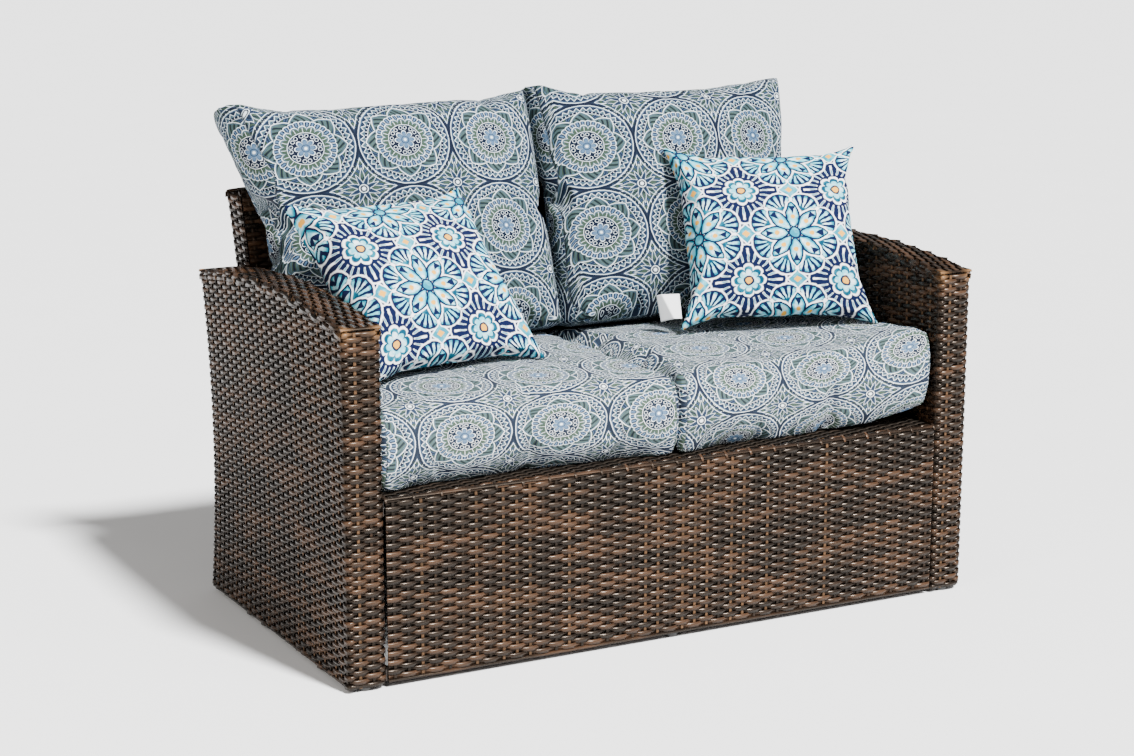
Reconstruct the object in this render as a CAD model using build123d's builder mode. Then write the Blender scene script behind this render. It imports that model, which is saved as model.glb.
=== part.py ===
# Two-seat patio loveseat: woven resin skins over square tube frames, with
# lift-off seat cushions, back cushions and throw pillows.
# Millimetres. The front faces -Y, +Z is up, and left and right are as seen from the front.
# The origin is on the ground under the middle of the whole seat.
from build123d import *
from math import cos, radians, sin, sqrt, tan
import os

os.makedirs("parts", exist_ok=True)

# Overall sizes
width = 1250.0
arm_thickness = 70.0
arm_end_height = 610.0
arm_crown = 27.0
seat_height = 325.0
back_height = 748.0
back_top_rise = 13.0
back_thickness = 80.0

# The rear of the arms and back follows one upright arc, hollow at waist height
waist_height = 290.0
waist_depth = 635.0
rear_radius = 1300.0

# Woven skin and square tube
skin = 7.0
tube = 20.0
seat_tube = 25.0
wall = 1.2
spacer_length = 30.0
spacer_share = (0.25, 0.75)
cross_tube_share = (-0.5, 0.0, 0.5)
skirt_gap = 3.0

# Screw feet
foot_height = 8.0
foot_radius = 12.0
foot_gap = 0.3
foot_chamfer = 0.6
plate = 3.0
plate_inset = 1.0
stem_radius = 4.0
stem_length = 24.0
stem_clearance = 0.05
boss_radius = 7.0
boss_height = 16.0

# Bolts, washers and threaded inserts
bolt_radius = 4.0
bolt_clearance = 0.25
bolt_head_width = 13.0
bolt_head_height = 5.0
washer_radius = 8.0
washer_thickness = 1.6
insert_radius = 5.5
insert_length = 10.0
bolt_reach = 12.0
leg_bolt_heights = (120.0, 240.0)
rail_bolt_share = (-0.45, 0.45)

# Seat cushions
side_clearance = 2.0
split_offset = 15.0
rest_gap = 0.3
seat_cushion_inset = 4.0
seat_crown_height = 154.0
seat_edge_height = 136.0
seat_end_height = 134.0
seat_roll = 18.0
seat_draw = 8.0
right_raise = 40.0

# Back cushions, which rest on the seat cushions and lean on the top of the back
back_lean = 20.0
back_cushion_height = {"left": 470.0, "right": 482.0}
back_cushion_thickness = 180.0
back_cushion_side = 132.0
back_cushion_edge = 52.0
back_cushion_roll = 32.0
back_cushion_rear_roll = 12.0
back_cushion_fullest_share = 0.35
back_cushion_sag = 6.0
back_cushion_foot_share = -0.94
back_ear_reach = {"left": 46.0, "right": 36.0}
back_ear_power = {"left": 1.1, "right": 0.6}

# Throw pillows, square on plan
pillow_size = 368.0
pillow_thickness = 124.0
pillow_edge = 9.0
pillow_draw = 13.0
pillow_arm_gap = {"left": 10.0, "right": 8.0}
pillow_from_back = {"left": 270.0, "right": 259.0}
pillow_lean = {"left": 42.0, "right": 33.0}
pillow_yaw = {"left": 12.0, "right": -20.0}

# Blank fabric tag in the right pillow's seam
tag_width = 50.0
tag_reach = 46.0
tag_thickness = 0.8
tag_place_share = -0.76

# Places worked out from the sizes above
overrun = 2.0
side_outer = width / 2
side_inner = side_outer - arm_thickness
tube_inner = side_inner + skin
tube_outer = side_outer - skin
base_height = foot_height + plate
deck_under = seat_height - skin
arc_centre = waist_depth + rear_radius
over_top = back_height + back_thickness
bolt_hole = bolt_radius + bolt_clearance
signs = {"left": -1, "right": 1}

weave_brown = Color(0.3, 0.2, 0.15)
steel_black = Color(0.15, 0.15, 0.16)
zinc = Color(0.7, 0.7, 0.72)
plastic_black = Color(0.05, 0.05, 0.05)
cushion_blue = Color(0.35, 0.48, 0.56)
pillow_aqua = Color(0.5, 0.78, 0.82)
tag_white = Color(0.92, 0.92, 0.9)


def rear_depth(height, inset=0.0):
    """Distance from the front to the rear arc at a height; the inset goes forward."""
    return arc_centre - sqrt((rear_radius + inset) ** 2 - (height - waist_height) ** 2)


overall_depth = rear_depth(back_height)
front_y = -overall_depth / 2
arm_depth = rear_depth(arm_end_height)
arch_radius = (arm_depth / 2) ** 2 / (2 * arm_crown) + arm_crown / 2
arch_centre = arm_end_height + arm_crown - arch_radius


def at(depth, height):
    """A point of a side view, from its distance behind the front and its height."""
    return (front_y + depth, height)


def rear_arc(inset, low, high):
    """Draws the rear arc, moved forward by an inset, between two heights."""
    middle = (low + high) / 2
    return ThreePointArc(
        at(rear_depth(low, inset), low),
        at(rear_depth(middle, inset), middle),
        at(rear_depth(high, inset), high),
    )


def arm_region(front, rear, top, low):
    """Side view of an arm, drawn in from its front, its rear, its arched top and the ground."""
    with BuildSketch(Plane.XY, mode=Mode.PRIVATE) as region:
        with BuildLine():
            upright = Line(at(front, over_top), at(front, low))
            slope = rear_arc(rear, low, over_top)
            Line(upright @ 1, slope @ 0)
            Line(slope @ 1, upright @ 0)
        make_face()
        with Locations(at(arm_depth / 2, arch_centre)):
            Circle(arch_radius - top, mode=Mode.INTERSECT)
    return region.sketch


def back_region(rear, front, high, low, rise=0.0):
    """Side view of a strip of the back, drawn in from its rear and its front face."""
    reach = back_thickness - front
    high_rear = high + rise * rear / back_thickness
    high_front = high + rise * reach / back_thickness
    with BuildSketch(Plane.XY, mode=Mode.PRIVATE) as region:
        with BuildLine():
            rear_side = rear_arc(rear, low, high_rear)
            front_side = rear_arc(reach, low, high_front)
            Line(rear_side @ 1, front_side @ 1)
            Line(rear_side @ 0, front_side @ 0)
        make_face()
    return region.sketch


def box_region(depth_low, depth_high, low, high):
    """Side view of an upright rectangle."""
    with BuildSketch(Plane.XY, mode=Mode.PRIVATE) as region:
        with Locations(at((depth_low + depth_high) / 2, (low + high) / 2)):
            Rectangle(depth_high - depth_low, high - low)
    return region.sketch


def side_extrude(ends, keep, *removed, mode=Mode.ADD):
    """Extrudes a side view across the seat between two places, less other side views."""
    with BuildSketch(Plane.YZ.offset(min(ends))) as view:
        add(keep)
        for region in removed:
            add(region, mode=Mode.SUBTRACT)
    extrude(view.sketch, amount=max(ends) - min(ends), mode=mode)


def finish(name, piece, colour):
    """Names a finished piece, colours it and writes it out."""
    piece.part.label = name
    piece.part.color = colour
    export_step(piece.part, f"parts/{name}.step")


# Places of the side bolts, which go through the seat rail or back post into an arm's legs
def side_bolt_places():
    leg_middle = skin + tube / 2
    rear = [at(rear_depth(height, leg_middle), height) for height in leg_bolt_heights]
    return [at(leg_middle, deck_under - seat_tube / 2), *rear]


def side_bolt_holes(ends, radius):
    with BuildSketch(Plane.YZ.offset(min(ends))) as view:
        with Locations(*side_bolt_places()):
            Circle(radius)
    extrude(view.sketch, amount=max(ends) - min(ends), mode=Mode.SUBTRACT)


# Woven sheets of each arm: a full one on each face, and strips round the edges between them
def arm_weaves(side, sign):
    faces = {"outer": (side_outer, tube_outer), "inner": (side_inner, tube_inner)}
    for face, (near, far) in faces.items():
        with BuildPart() as sheet:
            side_extrude((sign * near, sign * far), arm_region(0.0, 0.0, 0.0, foot_height))
            if face == "inner":
                ends = (sign * (near - overrun), sign * (far + overrun))
                side_bolt_holes(ends, bolt_hole)
        finish(f"{side}_arm_{face}_weave", sheet, weave_brown)
    full = arm_region(0.0, 0.0, 0.0, foot_height)
    no_front = arm_region(skin, 0.0, 0.0, foot_height)
    no_rear = arm_region(skin, skin, 0.0, foot_height)
    no_top = arm_region(skin, skin, skin, foot_height)
    strips = {"front": (full, no_front), "rear": (no_front, no_rear), "top": (no_rear, no_top)}
    for edge, (outside, inside) in strips.items():
        with BuildPart() as strip:
            side_extrude((sign * tube_inner, sign * tube_outer), outside, inside)
        finish(f"{side}_arm_{edge}_weave", strip, weave_brown)


# Tubes of each arm: an inner and an outer frame of four tubes, held apart by spacers
def arm_tubes(side, sign):
    near = skin
    far = skin + tube
    low = base_height
    members = {
        "front_legs": (arm_region(near, near, near, low), arm_region(far, near, near, low)),
        "rear_legs": (arm_region(far, near, near, low), arm_region(far, far, near, low)),
        "top_tubes": (arm_region(far, far, near, low), arm_region(far, far, far, low)),
        "base_tubes": (arm_region(far, far, far, low), arm_region(far, far, far, low + tube)),
    }
    open_near = near + wall
    open_far = far - wall
    past = low - overrun
    bores = {
        "front_legs": (arm_region(open_near, 0.0, 0.0, past), arm_region(open_far, 0.0, 0.0, past)),
        "rear_legs": (arm_region(0.0, open_near, 0.0, past), arm_region(0.0, open_far, 0.0, past)),
        "top_tubes": (arm_region(0.0, 0.0, open_near, past), arm_region(0.0, 0.0, open_far, past)),
        "base_tubes": (arm_region(0.0, 0.0, 0.0, low + wall), arm_region(0.0, 0.0, 0.0, low + tube - wall)),
    }
    layers = ((tube_inner, tube_inner + tube), (tube_outer - tube, tube_outer))
    for member, (outside, inside) in members.items():
        with BuildPart() as pair:
            for start, end in layers:
                side_extrude((sign * start, sign * end), outside, inside)
                bore_ends = (sign * (start + wall), sign * (end - wall))
                side_extrude(bore_ends, *bores[member], mode=Mode.SUBTRACT)
            if member.endswith("legs"):
                ends = (sign * (tube_inner - overrun), sign * (tube_inner + wall + overrun))
                side_bolt_holes(ends, insert_radius)
        finish(f"{side}_arm_{member}", pair, steel_black)

    ring = arm_region(near, near, near, low)
    hole = arm_region(far, far, far, low + tube)
    with BuildPart() as spacers:
        with BuildSketch(Plane.YZ.offset(min(sign * (tube_inner + tube), sign * (tube_outer - tube)))):
            for share in spacer_share:
                height = low + share * (arm_end_height - low)
                add(box_region(0.0, overall_depth, height, height + spacer_length))
                depth = share * arm_depth
                add(box_region(depth, depth + spacer_length, low, over_top))
            add(ring, mode=Mode.INTERSECT)
            add(hole, mode=Mode.SUBTRACT)
        extrude(amount=tube_outer - tube_inner - 2 * tube)
    finish(f"{side}_arm_spacers", spacers, steel_black)


for side, sign in signs.items():
    arm_weaves(side, sign)
    arm_tubes(side, sign)


# Woven sheets of the back: front, rear and top between two edge sheets
back_inner = side_inner - skin
with BuildPart() as back_front_weave:
    outside = back_region(skin, 0.0, back_height, deck_under, back_top_rise)
    inside = back_region(skin, skin, back_height, deck_under, back_top_rise)
    side_extrude((-back_inner, back_inner), outside, inside)
finish("back_front_weave", back_front_weave, weave_brown)

with BuildPart() as back_rear_weave:
    outside = back_region(0.0, 0.0, back_height, foot_height, back_top_rise)
    inside = back_region(skin, 0.0, back_height, foot_height, back_top_rise)
    side_extrude((-back_inner, back_inner), outside, inside)
finish("back_rear_weave", back_rear_weave, weave_brown)

with BuildPart() as back_top_weave:
    outside = back_region(skin, skin, back_height, back_height - back_thickness, back_top_rise)
    inside = back_region(skin, skin, back_height - skin, back_height - back_thickness, back_top_rise)
    side_extrude((-back_inner, back_inner), outside, inside)
finish("back_top_weave", back_top_weave, weave_brown)

for side, sign in signs.items():
    with BuildPart() as edge_weave:
        ends = (sign * back_inner, sign * side_inner)
        side_extrude(ends, back_region(0.0, 0.0, back_height, foot_height, back_top_rise))
        ends = (sign * (back_inner - overrun), sign * (side_inner + overrun))
        side_bolt_holes(ends, bolt_hole)
    finish(f"back_{side}_edge_weave", edge_weave, weave_brown)

# Tubes of the back: two curved posts at each side, in a front and a rear layer
layer_far = back_thickness - skin - tube
post_inner = back_inner - tube
post_layers = ((skin, layer_far), (layer_far, skin))
for side, sign in signs.items():
    with BuildPart() as posts:
        for rear, front in post_layers:
            keep = back_region(rear, front, back_height - skin, base_height, back_top_rise)
            side_extrude((sign * post_inner, sign * back_inner), keep)
            bore = back_region(rear + wall, front + wall, over_top, base_height - overrun)
            side_extrude((sign * (post_inner + wall), sign * (back_inner - wall)), bore, mode=Mode.SUBTRACT)
        side_bolt_holes((sign * (post_inner - overrun), sign * (back_inner + overrun)), bolt_hole)
    finish(f"back_{side}_posts", posts, steel_black)

# Cross rails of the back, between the posts: at the top and the foot in both layers
rail_levels = {
    "top": (back_height - skin - tube, back_height - skin, back_top_rise),
    "base": (base_height, base_height + tube, 0.0),
}
for level, (low, high, rise) in rail_levels.items():
    with BuildPart() as rails:
        for rear, front in post_layers:
            side_extrude((-post_inner, post_inner), back_region(rear, front, high, low, rise))
            bore = back_region(rear + wall, front + wall, high - wall, low + wall, rise)
            side_extrude((-post_inner, post_inner), bore, mode=Mode.SUBTRACT)
    finish(f"back_{level}_rails", rails, steel_black)


def rail_bolt_holes(depth_low, depth_high, radius):
    """Cuts the holes of the bolts that hold the seat's rear rail to the back."""
    places = [(share * side_inner, deck_under - seat_tube / 2) for share in rail_bolt_share]
    with BuildSketch(Plane.XZ.offset(-front_y - depth_high)) as view:
        with Locations(*places):
            Circle(radius)
    extrude(view.sketch, amount=depth_high - depth_low, mode=Mode.SUBTRACT)


# The back's seat rail is the tube that the seat's rear rail is bolted to
back_front = waist_depth - back_thickness
rail_front = back_front + skin
rail_low = deck_under - seat_tube
with BuildPart() as back_seat_rail:
    back_face = rail_front + tube
    side_extrude((-post_inner, post_inner), box_region(rail_front, back_face, rail_low, deck_under))
    bore = box_region(rail_front + wall, back_face - wall, rail_low + wall, deck_under - wall)
    side_extrude((-post_inner, post_inner), bore, mode=Mode.SUBTRACT)
    rail_bolt_holes(rail_front - overrun, rail_front + wall + overrun, insert_radius)
finish("back_seat_rail", back_seat_rail, steel_black)

# Seat frame: side rails run front to rear against the arms, with cross members between
seat_rear = rail_front
rail_inner = side_inner - seat_tube


def depth_tube(left_x, right_x, low, high, start, end):
    """Draws an open square tube that runs from front to rear."""
    with BuildSketch(Plane.XZ.offset(-front_y - end)) as view:
        with Locations(((left_x + right_x) / 2, (low + high) / 2)):
            Rectangle(right_x - left_x, high - low)
            Rectangle(right_x - left_x - 2 * wall, high - low - 2 * wall, mode=Mode.SUBTRACT)
    extrude(view.sketch, amount=end - start)


for side, sign in signs.items():
    with BuildPart() as side_rail:
        low_x, high_x = sorted((sign * rail_inner, sign * side_inner))
        depth_tube(low_x, high_x, rail_low, deck_under, skin, back_front)
        side_bolt_holes((low_x - overrun, high_x + overrun), bolt_hole)
    finish(f"seat_{side}_rail", side_rail, steel_black)

cross_rails = {
    "seat_front_rail": (skin, skin + seat_tube),
    "seat_rear_rail": (seat_rear - seat_tube, seat_rear),
}
for name, (start, end) in cross_rails.items():
    with BuildPart() as cross_rail:
        side_extrude((-rail_inner, rail_inner), box_region(start, end, rail_low, deck_under))
        bore = box_region(start + wall, end - wall, rail_low + wall, deck_under - wall)
        side_extrude((-rail_inner, rail_inner), bore, mode=Mode.SUBTRACT)
        if name == "seat_rear_rail":
            rail_bolt_holes(start - overrun, end + overrun, bolt_hole)
    finish(name, cross_rail, steel_black)

cross_names = ("seat_left_cross_tube", "seat_centre_cross_tube", "seat_right_cross_tube")
for name, share in zip(cross_names, cross_tube_share):
    with BuildPart() as cross_tube:
        left_x = share * side_inner - tube / 2
        start = skin + seat_tube
        depth_tube(left_x, left_x + tube, deck_under - tube, deck_under, start, seat_rear - seat_tube)
    finish(name, cross_tube, steel_black)

with BuildPart() as front_centre_leg:
    with BuildSketch(Plane.XY.offset(base_height)):
        with Locations((0, front_y + skin + seat_tube / 2)):
            Rectangle(seat_tube, seat_tube)
            Rectangle(seat_tube - 2 * wall, seat_tube - 2 * wall, mode=Mode.SUBTRACT)
    extrude(amount=rail_low - base_height)
finish("front_centre_leg", front_centre_leg, steel_black)

# Tube along the foot of the front skirt, from each arm to the centre leg
with BuildPart() as skirt_rail:
    for sign in signs.values():
        ends = (sign * seat_tube / 2, sign * side_inner)
        side_extrude(ends, box_region(skin, skin + tube, base_height, base_height + tube))
        bore = box_region(skin + wall, skin + tube - wall, base_height + wall, base_height + tube - wall)
        side_extrude(ends, bore, mode=Mode.SUBTRACT)
finish("skirt_rail", skirt_rail, steel_black)

with BuildPart() as front_skirt_weave:
    reach = side_inner - skirt_gap
    side_extrude((-reach, reach), box_region(0.0, skin, foot_height, seat_height))
finish("front_skirt_weave", front_skirt_weave, weave_brown)

with BuildPart() as seat_deck_weave:
    side_extrude((-side_inner, side_inner), box_region(skin, back_front, deck_under, seat_height))
finish("seat_deck_weave", seat_deck_weave, weave_brown)

# Screw feet: a disc and stem in a threaded boss, on a plate across the bottom of a leg
arm_middle = (side_inner + side_outer) / 2
leg_depth = skin + tube / 2
rear_leg_depth = rear_depth(base_height + boss_height, leg_depth)
foot_places = {
    "front_left": (-arm_middle, leg_depth),
    "front_centre": (0.0, skin + seat_tube / 2),
    "front_right": (arm_middle, leg_depth),
    "rear_left": (-arm_middle, rear_leg_depth),
    "rear_right": (arm_middle, rear_leg_depth),
}
with BuildPart() as foot_plates:
    for name, (x, depth) in foot_places.items():
        plate_width = seat_tube if name == "front_centre" else tube_outer - tube_inner
        plate_depth = seat_tube if name == "front_centre" else tube - 2 * plate_inset
        with BuildSketch(Plane.XY.offset(foot_height)):
            with Locations((x, front_y + depth)):
                Rectangle(plate_width, plate_depth)
        extrude(amount=plate)
        with BuildSketch(Plane.XY.offset(base_height)):
            with Locations((x, front_y + depth)):
                Circle(boss_radius)
        extrude(amount=boss_height)
    with Locations(*[(x, front_y + depth, foot_height) for x, depth in foot_places.values()]):
        through = 2 * (plate + boss_height)
        Cylinder(stem_radius + stem_clearance, through, mode=Mode.SUBTRACT)
finish("foot_plates", foot_plates, steel_black)

for name, (x, depth) in foot_places.items():
    with BuildPart() as foot:
        with BuildSketch(Plane.XY):
            with Locations((x, front_y + depth)):
                Circle(foot_radius)
        extrude(amount=foot_height - foot_gap)
        chamfer(foot.edges().group_by(Axis.Z)[0], foot_chamfer)
        with BuildSketch(Plane.XY.offset(foot_height - foot_gap)):
            with Locations((x, front_y + depth)):
                Circle(stem_radius)
        extrude(amount=stem_length)
    finish(f"{name}_foot", foot, plastic_black)


# Bolts with their washers, and the threaded inserts that they screw into
def fastener(plane, grip, kind):
    """Draws one bolt, washer or insert, with the clamped face on the plane and its head outside."""
    if kind == "bolt":
        with BuildSketch(plane.offset(washer_thickness)) as head:
            RegularPolygon(bolt_head_width / 2, 6, major_radius=False)
        extrude(head.sketch, amount=bolt_head_height)
        with BuildSketch(plane.offset(-grip - bolt_reach)) as shank:
            Circle(bolt_radius)
        extrude(shank.sketch, amount=grip + bolt_reach + washer_thickness)
    elif kind == "washer":
        with BuildSketch(plane) as ring:
            Circle(washer_radius)
            Circle(bolt_hole, mode=Mode.SUBTRACT)
        extrude(ring.sketch, amount=washer_thickness)
    else:
        with BuildSketch(plane.offset(-grip - insert_length)) as barrel:
            Circle(insert_radius)
            Circle(bolt_radius + stem_clearance, mode=Mode.SUBTRACT)
        extrude(barrel.sketch, amount=insert_length)


def fastener_planes():
    """Each bolt's clamped face, with its normal towards the head, and what it clamps."""
    places = []
    for sign in signs.values():
        for number, (y, z) in enumerate(side_bolt_places()):
            clamped = rail_inner if number == 0 else post_inner
            origin = (sign * clamped, y, z)
            places.append((Plane(origin=origin, z_dir=(-sign, 0, 0)), tube_inner - clamped))
    for share in rail_bolt_share:
        origin = (share * side_inner, front_y + seat_rear - seat_tube, deck_under - seat_tube / 2)
        places.append((Plane(origin=origin, z_dir=(0, -1, 0)), seat_tube))
    return places


fastener_nodes = {"frame_bolts": "bolt", "frame_washers": "washer", "threaded_inserts": "insert"}
for name, kind in fastener_nodes.items():
    with BuildPart() as fasteners:
        for plane, grip in fastener_planes():
            fastener(plane, grip, kind)
    finish(name, fasteners, zinc)


# Soft pieces are lofted through sections, thin at both ends and crowned between
section_shares = (-1.0, -0.985, -0.94, -0.84, -0.55, 0.0, 0.55, 0.84, 0.94, 0.985, 1.0)
least_share = 0.1
settle_steps = 30


def fullness(share, power=4.0):
    """How full a soft piece is at a place across it: 1 in the middle, 0 at its ends."""
    return sqrt(sqrt(1 - abs(share) ** power))


def settle(piece, supports, down):
    """Moves a piece down until it rests a small gap above what carries it."""
    for _ in range(settle_steps):
        gap = min(piece.distance_to(support) for support in supports)
        if gap < rest_gap + rest_gap / 10:
            break
        piece = piece.moved(Location(Vector(*down) * (gap - rest_gap)))
    return piece


def seat_cushion(low_x, high_x, raised):
    """Box cushion: flat under, crowned on top, its rounded sides drawn in between the corners."""
    middle = (low_x + high_x) / 2
    half = (high_x - low_x) / 2
    base = seat_height + rest_gap
    for share in section_shares:
        full = fullness(share, 12.0)
        edge = seat_end_height + (seat_edge_height - seat_end_height) * full
        crown = edge + (seat_crown_height - seat_edge_height) * max(least_share, fullness(share))
        foot = base + (seat_edge_height - seat_end_height) / 2 * (1 - full)
        inset = seat_draw * (1 - share**2) + seat_roll * (1 - full)
        roll = seat_roll * (full + 1) / 2
        lift = raised * max(0.0, share) ** 2
        front = seat_cushion_inset + inset
        rear = back_front - side_clearance - inset
        with BuildSketch(Plane.YZ.offset(middle + share * half)) as section:
            with BuildLine():
                front_low = at(front + roll, foot + lift)
                front_high = at(front + roll, foot + edge + lift)
                rear_low = at(rear - roll, foot)
                rear_high = at(rear - roll, foot + edge)
                Line(rear_low, front_low)
                ThreePointArc(front_low, at(front, foot + edge / 2 + lift), front_high)
                ThreePointArc(front_high, at((front + rear) / 2, foot + crown + lift / 2), rear_high)
                ThreePointArc(rear_high, at(rear, foot + edge / 2), rear_low)
            make_face()
        yield section.sketch


lean_up = (0, sin(radians(back_lean)), cos(radians(back_lean)))
lean_foot_height = seat_height + seat_crown_height + seat_roll
back_top_front = back_height + back_top_rise


def back_cushion(side):
    """Loose back cushion: flat behind, crowned in front, with an ear at its outer top corner."""
    top_depth = rear_depth(back_top_front, back_thickness) - rest_gap / cos(radians(back_lean))
    foot_depth = top_depth - (back_top_front - lean_foot_height) * tan(radians(back_lean))
    foot = Vector(0, front_y + foot_depth, lean_foot_height)
    outward = signs[side]
    for share in (back_cushion_foot_share, *section_shares[3:]):
        full = fullness(share)
        up = (1 + share) / 2
        ear = back_ear_reach[side] * max(0.0, share) ** back_ear_power[side]
        draw = back_cushion_sag * (1 - share**2) / 2 + side_clearance
        low_x, high_x = sorted((split_offset + outward * draw, outward * (side_inner + ear - draw)))
        edge = back_cushion_edge + (back_cushion_side - back_cushion_edge) * full
        thick = edge + (back_cushion_thickness - back_cushion_side) * max(least_share, full)
        rear = (back_cushion_side - back_cushion_edge) / 2 * (1 - full)
        origin = foot + Vector(*lean_up) * (back_cushion_height[side] * up)
        roll = back_cushion_roll * (full + 1) / 2
        rear_roll = back_cushion_rear_roll * (full + 1) / 2
        fullest = -rear - edge * back_cushion_fullest_share
        with BuildSketch(Plane(origin=origin, x_dir=(1, 0, 0), z_dir=lean_up)) as section:
            with BuildLine():
                Line((low_x + rear_roll, -rear), (high_x - rear_roll, -rear))
                ThreePointArc((high_x - rear_roll, -rear), (high_x, fullest), (high_x - roll, -rear - edge))
                ThreePointArc(
                    (high_x - roll, -rear - edge),
                    ((low_x + high_x) / 2, -rear - thick),
                    (low_x + roll, -rear - edge),
                )
                ThreePointArc((low_x + roll, -rear - edge), (low_x, fullest), (low_x + rear_roll, -rear))
            make_face()
        yield section.sketch


def pillow_frame(side):
    """Plane of a throw pillow's seam, with X across it and Z out of its front face."""
    lean = radians(pillow_lean[side])
    yaw = radians(pillow_yaw[side])
    across = (cos(yaw), sin(yaw), 0)
    facing = (sin(yaw) * cos(lean), -cos(yaw) * cos(lean), sin(lean))
    from_middle = side_inner - pillow_arm_gap[side] - pillow_size / 2 * cos(yaw)
    depth = back_front - pillow_from_back[side]
    origin = (signs[side] * from_middle, front_y + depth, back_height)
    return Plane(origin=origin, x_dir=across, z_dir=facing)


def throw_pillow(frame):
    """Knife-edged square pillow: two crowned faces that meet in a thin seam."""
    for share in section_shares:
        full = fullness(share, 2.5)
        half = pillow_size / 2 - pillow_draw * (1 - share**4)
        crown = pillow_edge / 2 + (pillow_thickness - pillow_edge) / 2 * full + pillow_edge / 4
        edge = pillow_edge / 2
        origin = frame.origin + frame.x_dir * (share * pillow_size / 2)
        with BuildSketch(Plane(origin=origin, x_dir=frame.y_dir, z_dir=frame.x_dir)) as section:
            with BuildLine():
                ThreePointArc((-half, edge), (0, crown), (half, edge))
                Line((half, edge), (half, -edge))
                ThreePointArc((half, -edge), (0, -crown), (-half, -edge))
                Line((-half, -edge), (-half, edge))
            make_face()
        yield section.sketch


cushion_reach = side_inner - side_clearance
seat_spans = {
    "left": (-cushion_reach, split_offset - side_clearance / 2, 0.0),
    "right": (split_offset + side_clearance / 2, cushion_reach, right_raise),
}
for side in signs:
    with BuildPart() as seat_pad:
        loft(list(seat_cushion(*seat_spans[side])), ruled=True)
    finish(f"{side}_seat_cushion", seat_pad, cushion_blue)

    with BuildPart() as back_pad:
        loft(list(back_cushion(side)), ruled=True)
        back_pad.part = settle(back_pad.part, [seat_pad.part], [-part for part in lean_up])
    finish(f"{side}_back_cushion", back_pad, cushion_blue)

    frame = pillow_frame(side)
    with BuildPart() as pillow:
        loft(list(throw_pillow(frame)), ruled=True)
        start = pillow.part.center()
        pillow.part = settle(pillow.part, [seat_pad.part, back_pad.part], (0, 0, -1))
        drop = pillow.part.center() - start
    finish(f"{side}_throw_pillow", pillow, pillow_aqua)
    print(f"{side} pillow: seam centre at", frame.origin + drop)

# The loop above ends with the right pillow, whose left seam holds the tag
with BuildPart() as pillow_tag:
    reach = pillow_size / 2 + tag_reach / 2
    origin = frame.origin + drop - frame.x_dir * reach + frame.y_dir * (tag_place_share * pillow_size / 2)
    with BuildSketch(Plane(origin=origin, x_dir=frame.x_dir, z_dir=frame.z_dir).offset(-tag_thickness / 2)):
        Rectangle(tag_reach, tag_width)
    extrude(amount=tag_thickness)
finish("pillow_tag", pillow_tag, tag_white)
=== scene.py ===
from functools import partial
from math import pi, radians

import bmesh
import bpy
import numpy as np
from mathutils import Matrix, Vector
from mathutils.bvhtree import BVHTree


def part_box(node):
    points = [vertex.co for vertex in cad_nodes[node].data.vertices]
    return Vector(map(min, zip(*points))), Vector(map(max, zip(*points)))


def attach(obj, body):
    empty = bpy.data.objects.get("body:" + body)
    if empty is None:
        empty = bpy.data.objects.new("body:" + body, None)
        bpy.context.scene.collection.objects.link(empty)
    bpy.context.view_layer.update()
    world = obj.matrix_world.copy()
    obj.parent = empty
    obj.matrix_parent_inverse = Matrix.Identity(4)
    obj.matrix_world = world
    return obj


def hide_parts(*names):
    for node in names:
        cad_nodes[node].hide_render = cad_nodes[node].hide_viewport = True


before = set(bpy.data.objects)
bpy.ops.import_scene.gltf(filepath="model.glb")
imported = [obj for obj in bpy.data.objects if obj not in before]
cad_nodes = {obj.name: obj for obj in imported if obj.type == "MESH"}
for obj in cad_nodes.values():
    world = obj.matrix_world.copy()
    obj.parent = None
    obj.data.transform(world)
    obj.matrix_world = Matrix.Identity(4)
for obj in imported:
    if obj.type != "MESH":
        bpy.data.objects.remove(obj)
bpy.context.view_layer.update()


# Studio: the seat stands on a pale floor under soft lamps and is seen from its left,
# a little above its arms, through a long lens.
studio = bpy.context.scene.collection


def put(name, data):
    """A new object in the studio."""
    made = bpy.data.objects.new(name, data)
    studio.objects.link(made)
    return made


camera = put("camera", bpy.data.cameras.new("camera"))
camera.data.sensor_width = 36.0
camera.data.lens = 72.62
camera.location = (-1.99142, -3.66348, 1.28899)
camera.rotation_euler = (radians(90.0 - 12.011), 0.0, radians(-28.2102))
bpy.context.scene.camera = camera
seat_middle = Vector((0.0, 0.0, 0.4))


def lamp(name, kind, place, power, **settings):
    """A lamp that faces the middle of the seat."""
    light = bpy.data.lights.new(name, kind)
    light.energy = power
    for title, value in settings.items():
        setattr(light, title, value)
    stand = put(name, light)
    stand.location = place
    stand.rotation_euler = (seat_middle - Vector(place)).to_track_quat("-Z", "Y").to_euler()


lamp("wide soft light", "SUN", (0.60, -2.1, 3.1), 12.4, angle=radians(8.0))
lamp("left soft box", "AREA", (-3.4, -1.6, 2.0), 62.0, size=1.4, color=(1.0, 0.95, 0.89))
lamp("front soft box", "AREA", (1.4, -3.2, 2.3), 50.0, size=1.6)

air = bpy.data.worlds.new("studio air")
air.use_nodes = True
sky = air.node_tree.nodes["Background"].inputs
sky["Color"].default_value = (1.0, 1.0, 1.0, 1.0)
sky["Strength"].default_value = 0.32
bpy.context.scene.world = air


def add_node(tree, kind, inputs=None, **settings):
    """Adds a node to a tree, then sets its choices and fills or wires its inputs."""
    made = tree.nodes.new(kind)
    for name, value in settings.items():
        setattr(made, name, value)
    for place, value in (inputs or {}).items():
        if isinstance(value, bpy.types.NodeSocket):
            tree.links.new(value, made.inputs[place])
        else:
            made.inputs[place].default_value = value
    return made


def noise(tree, place, scale, detail):
    """Soft noise over a place."""
    inputs = {"Vector": place, "Scale": scale, "Detail": detail}
    return add_node(tree, "ShaderNodeTexNoise", inputs).outputs["Fac"]


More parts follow.
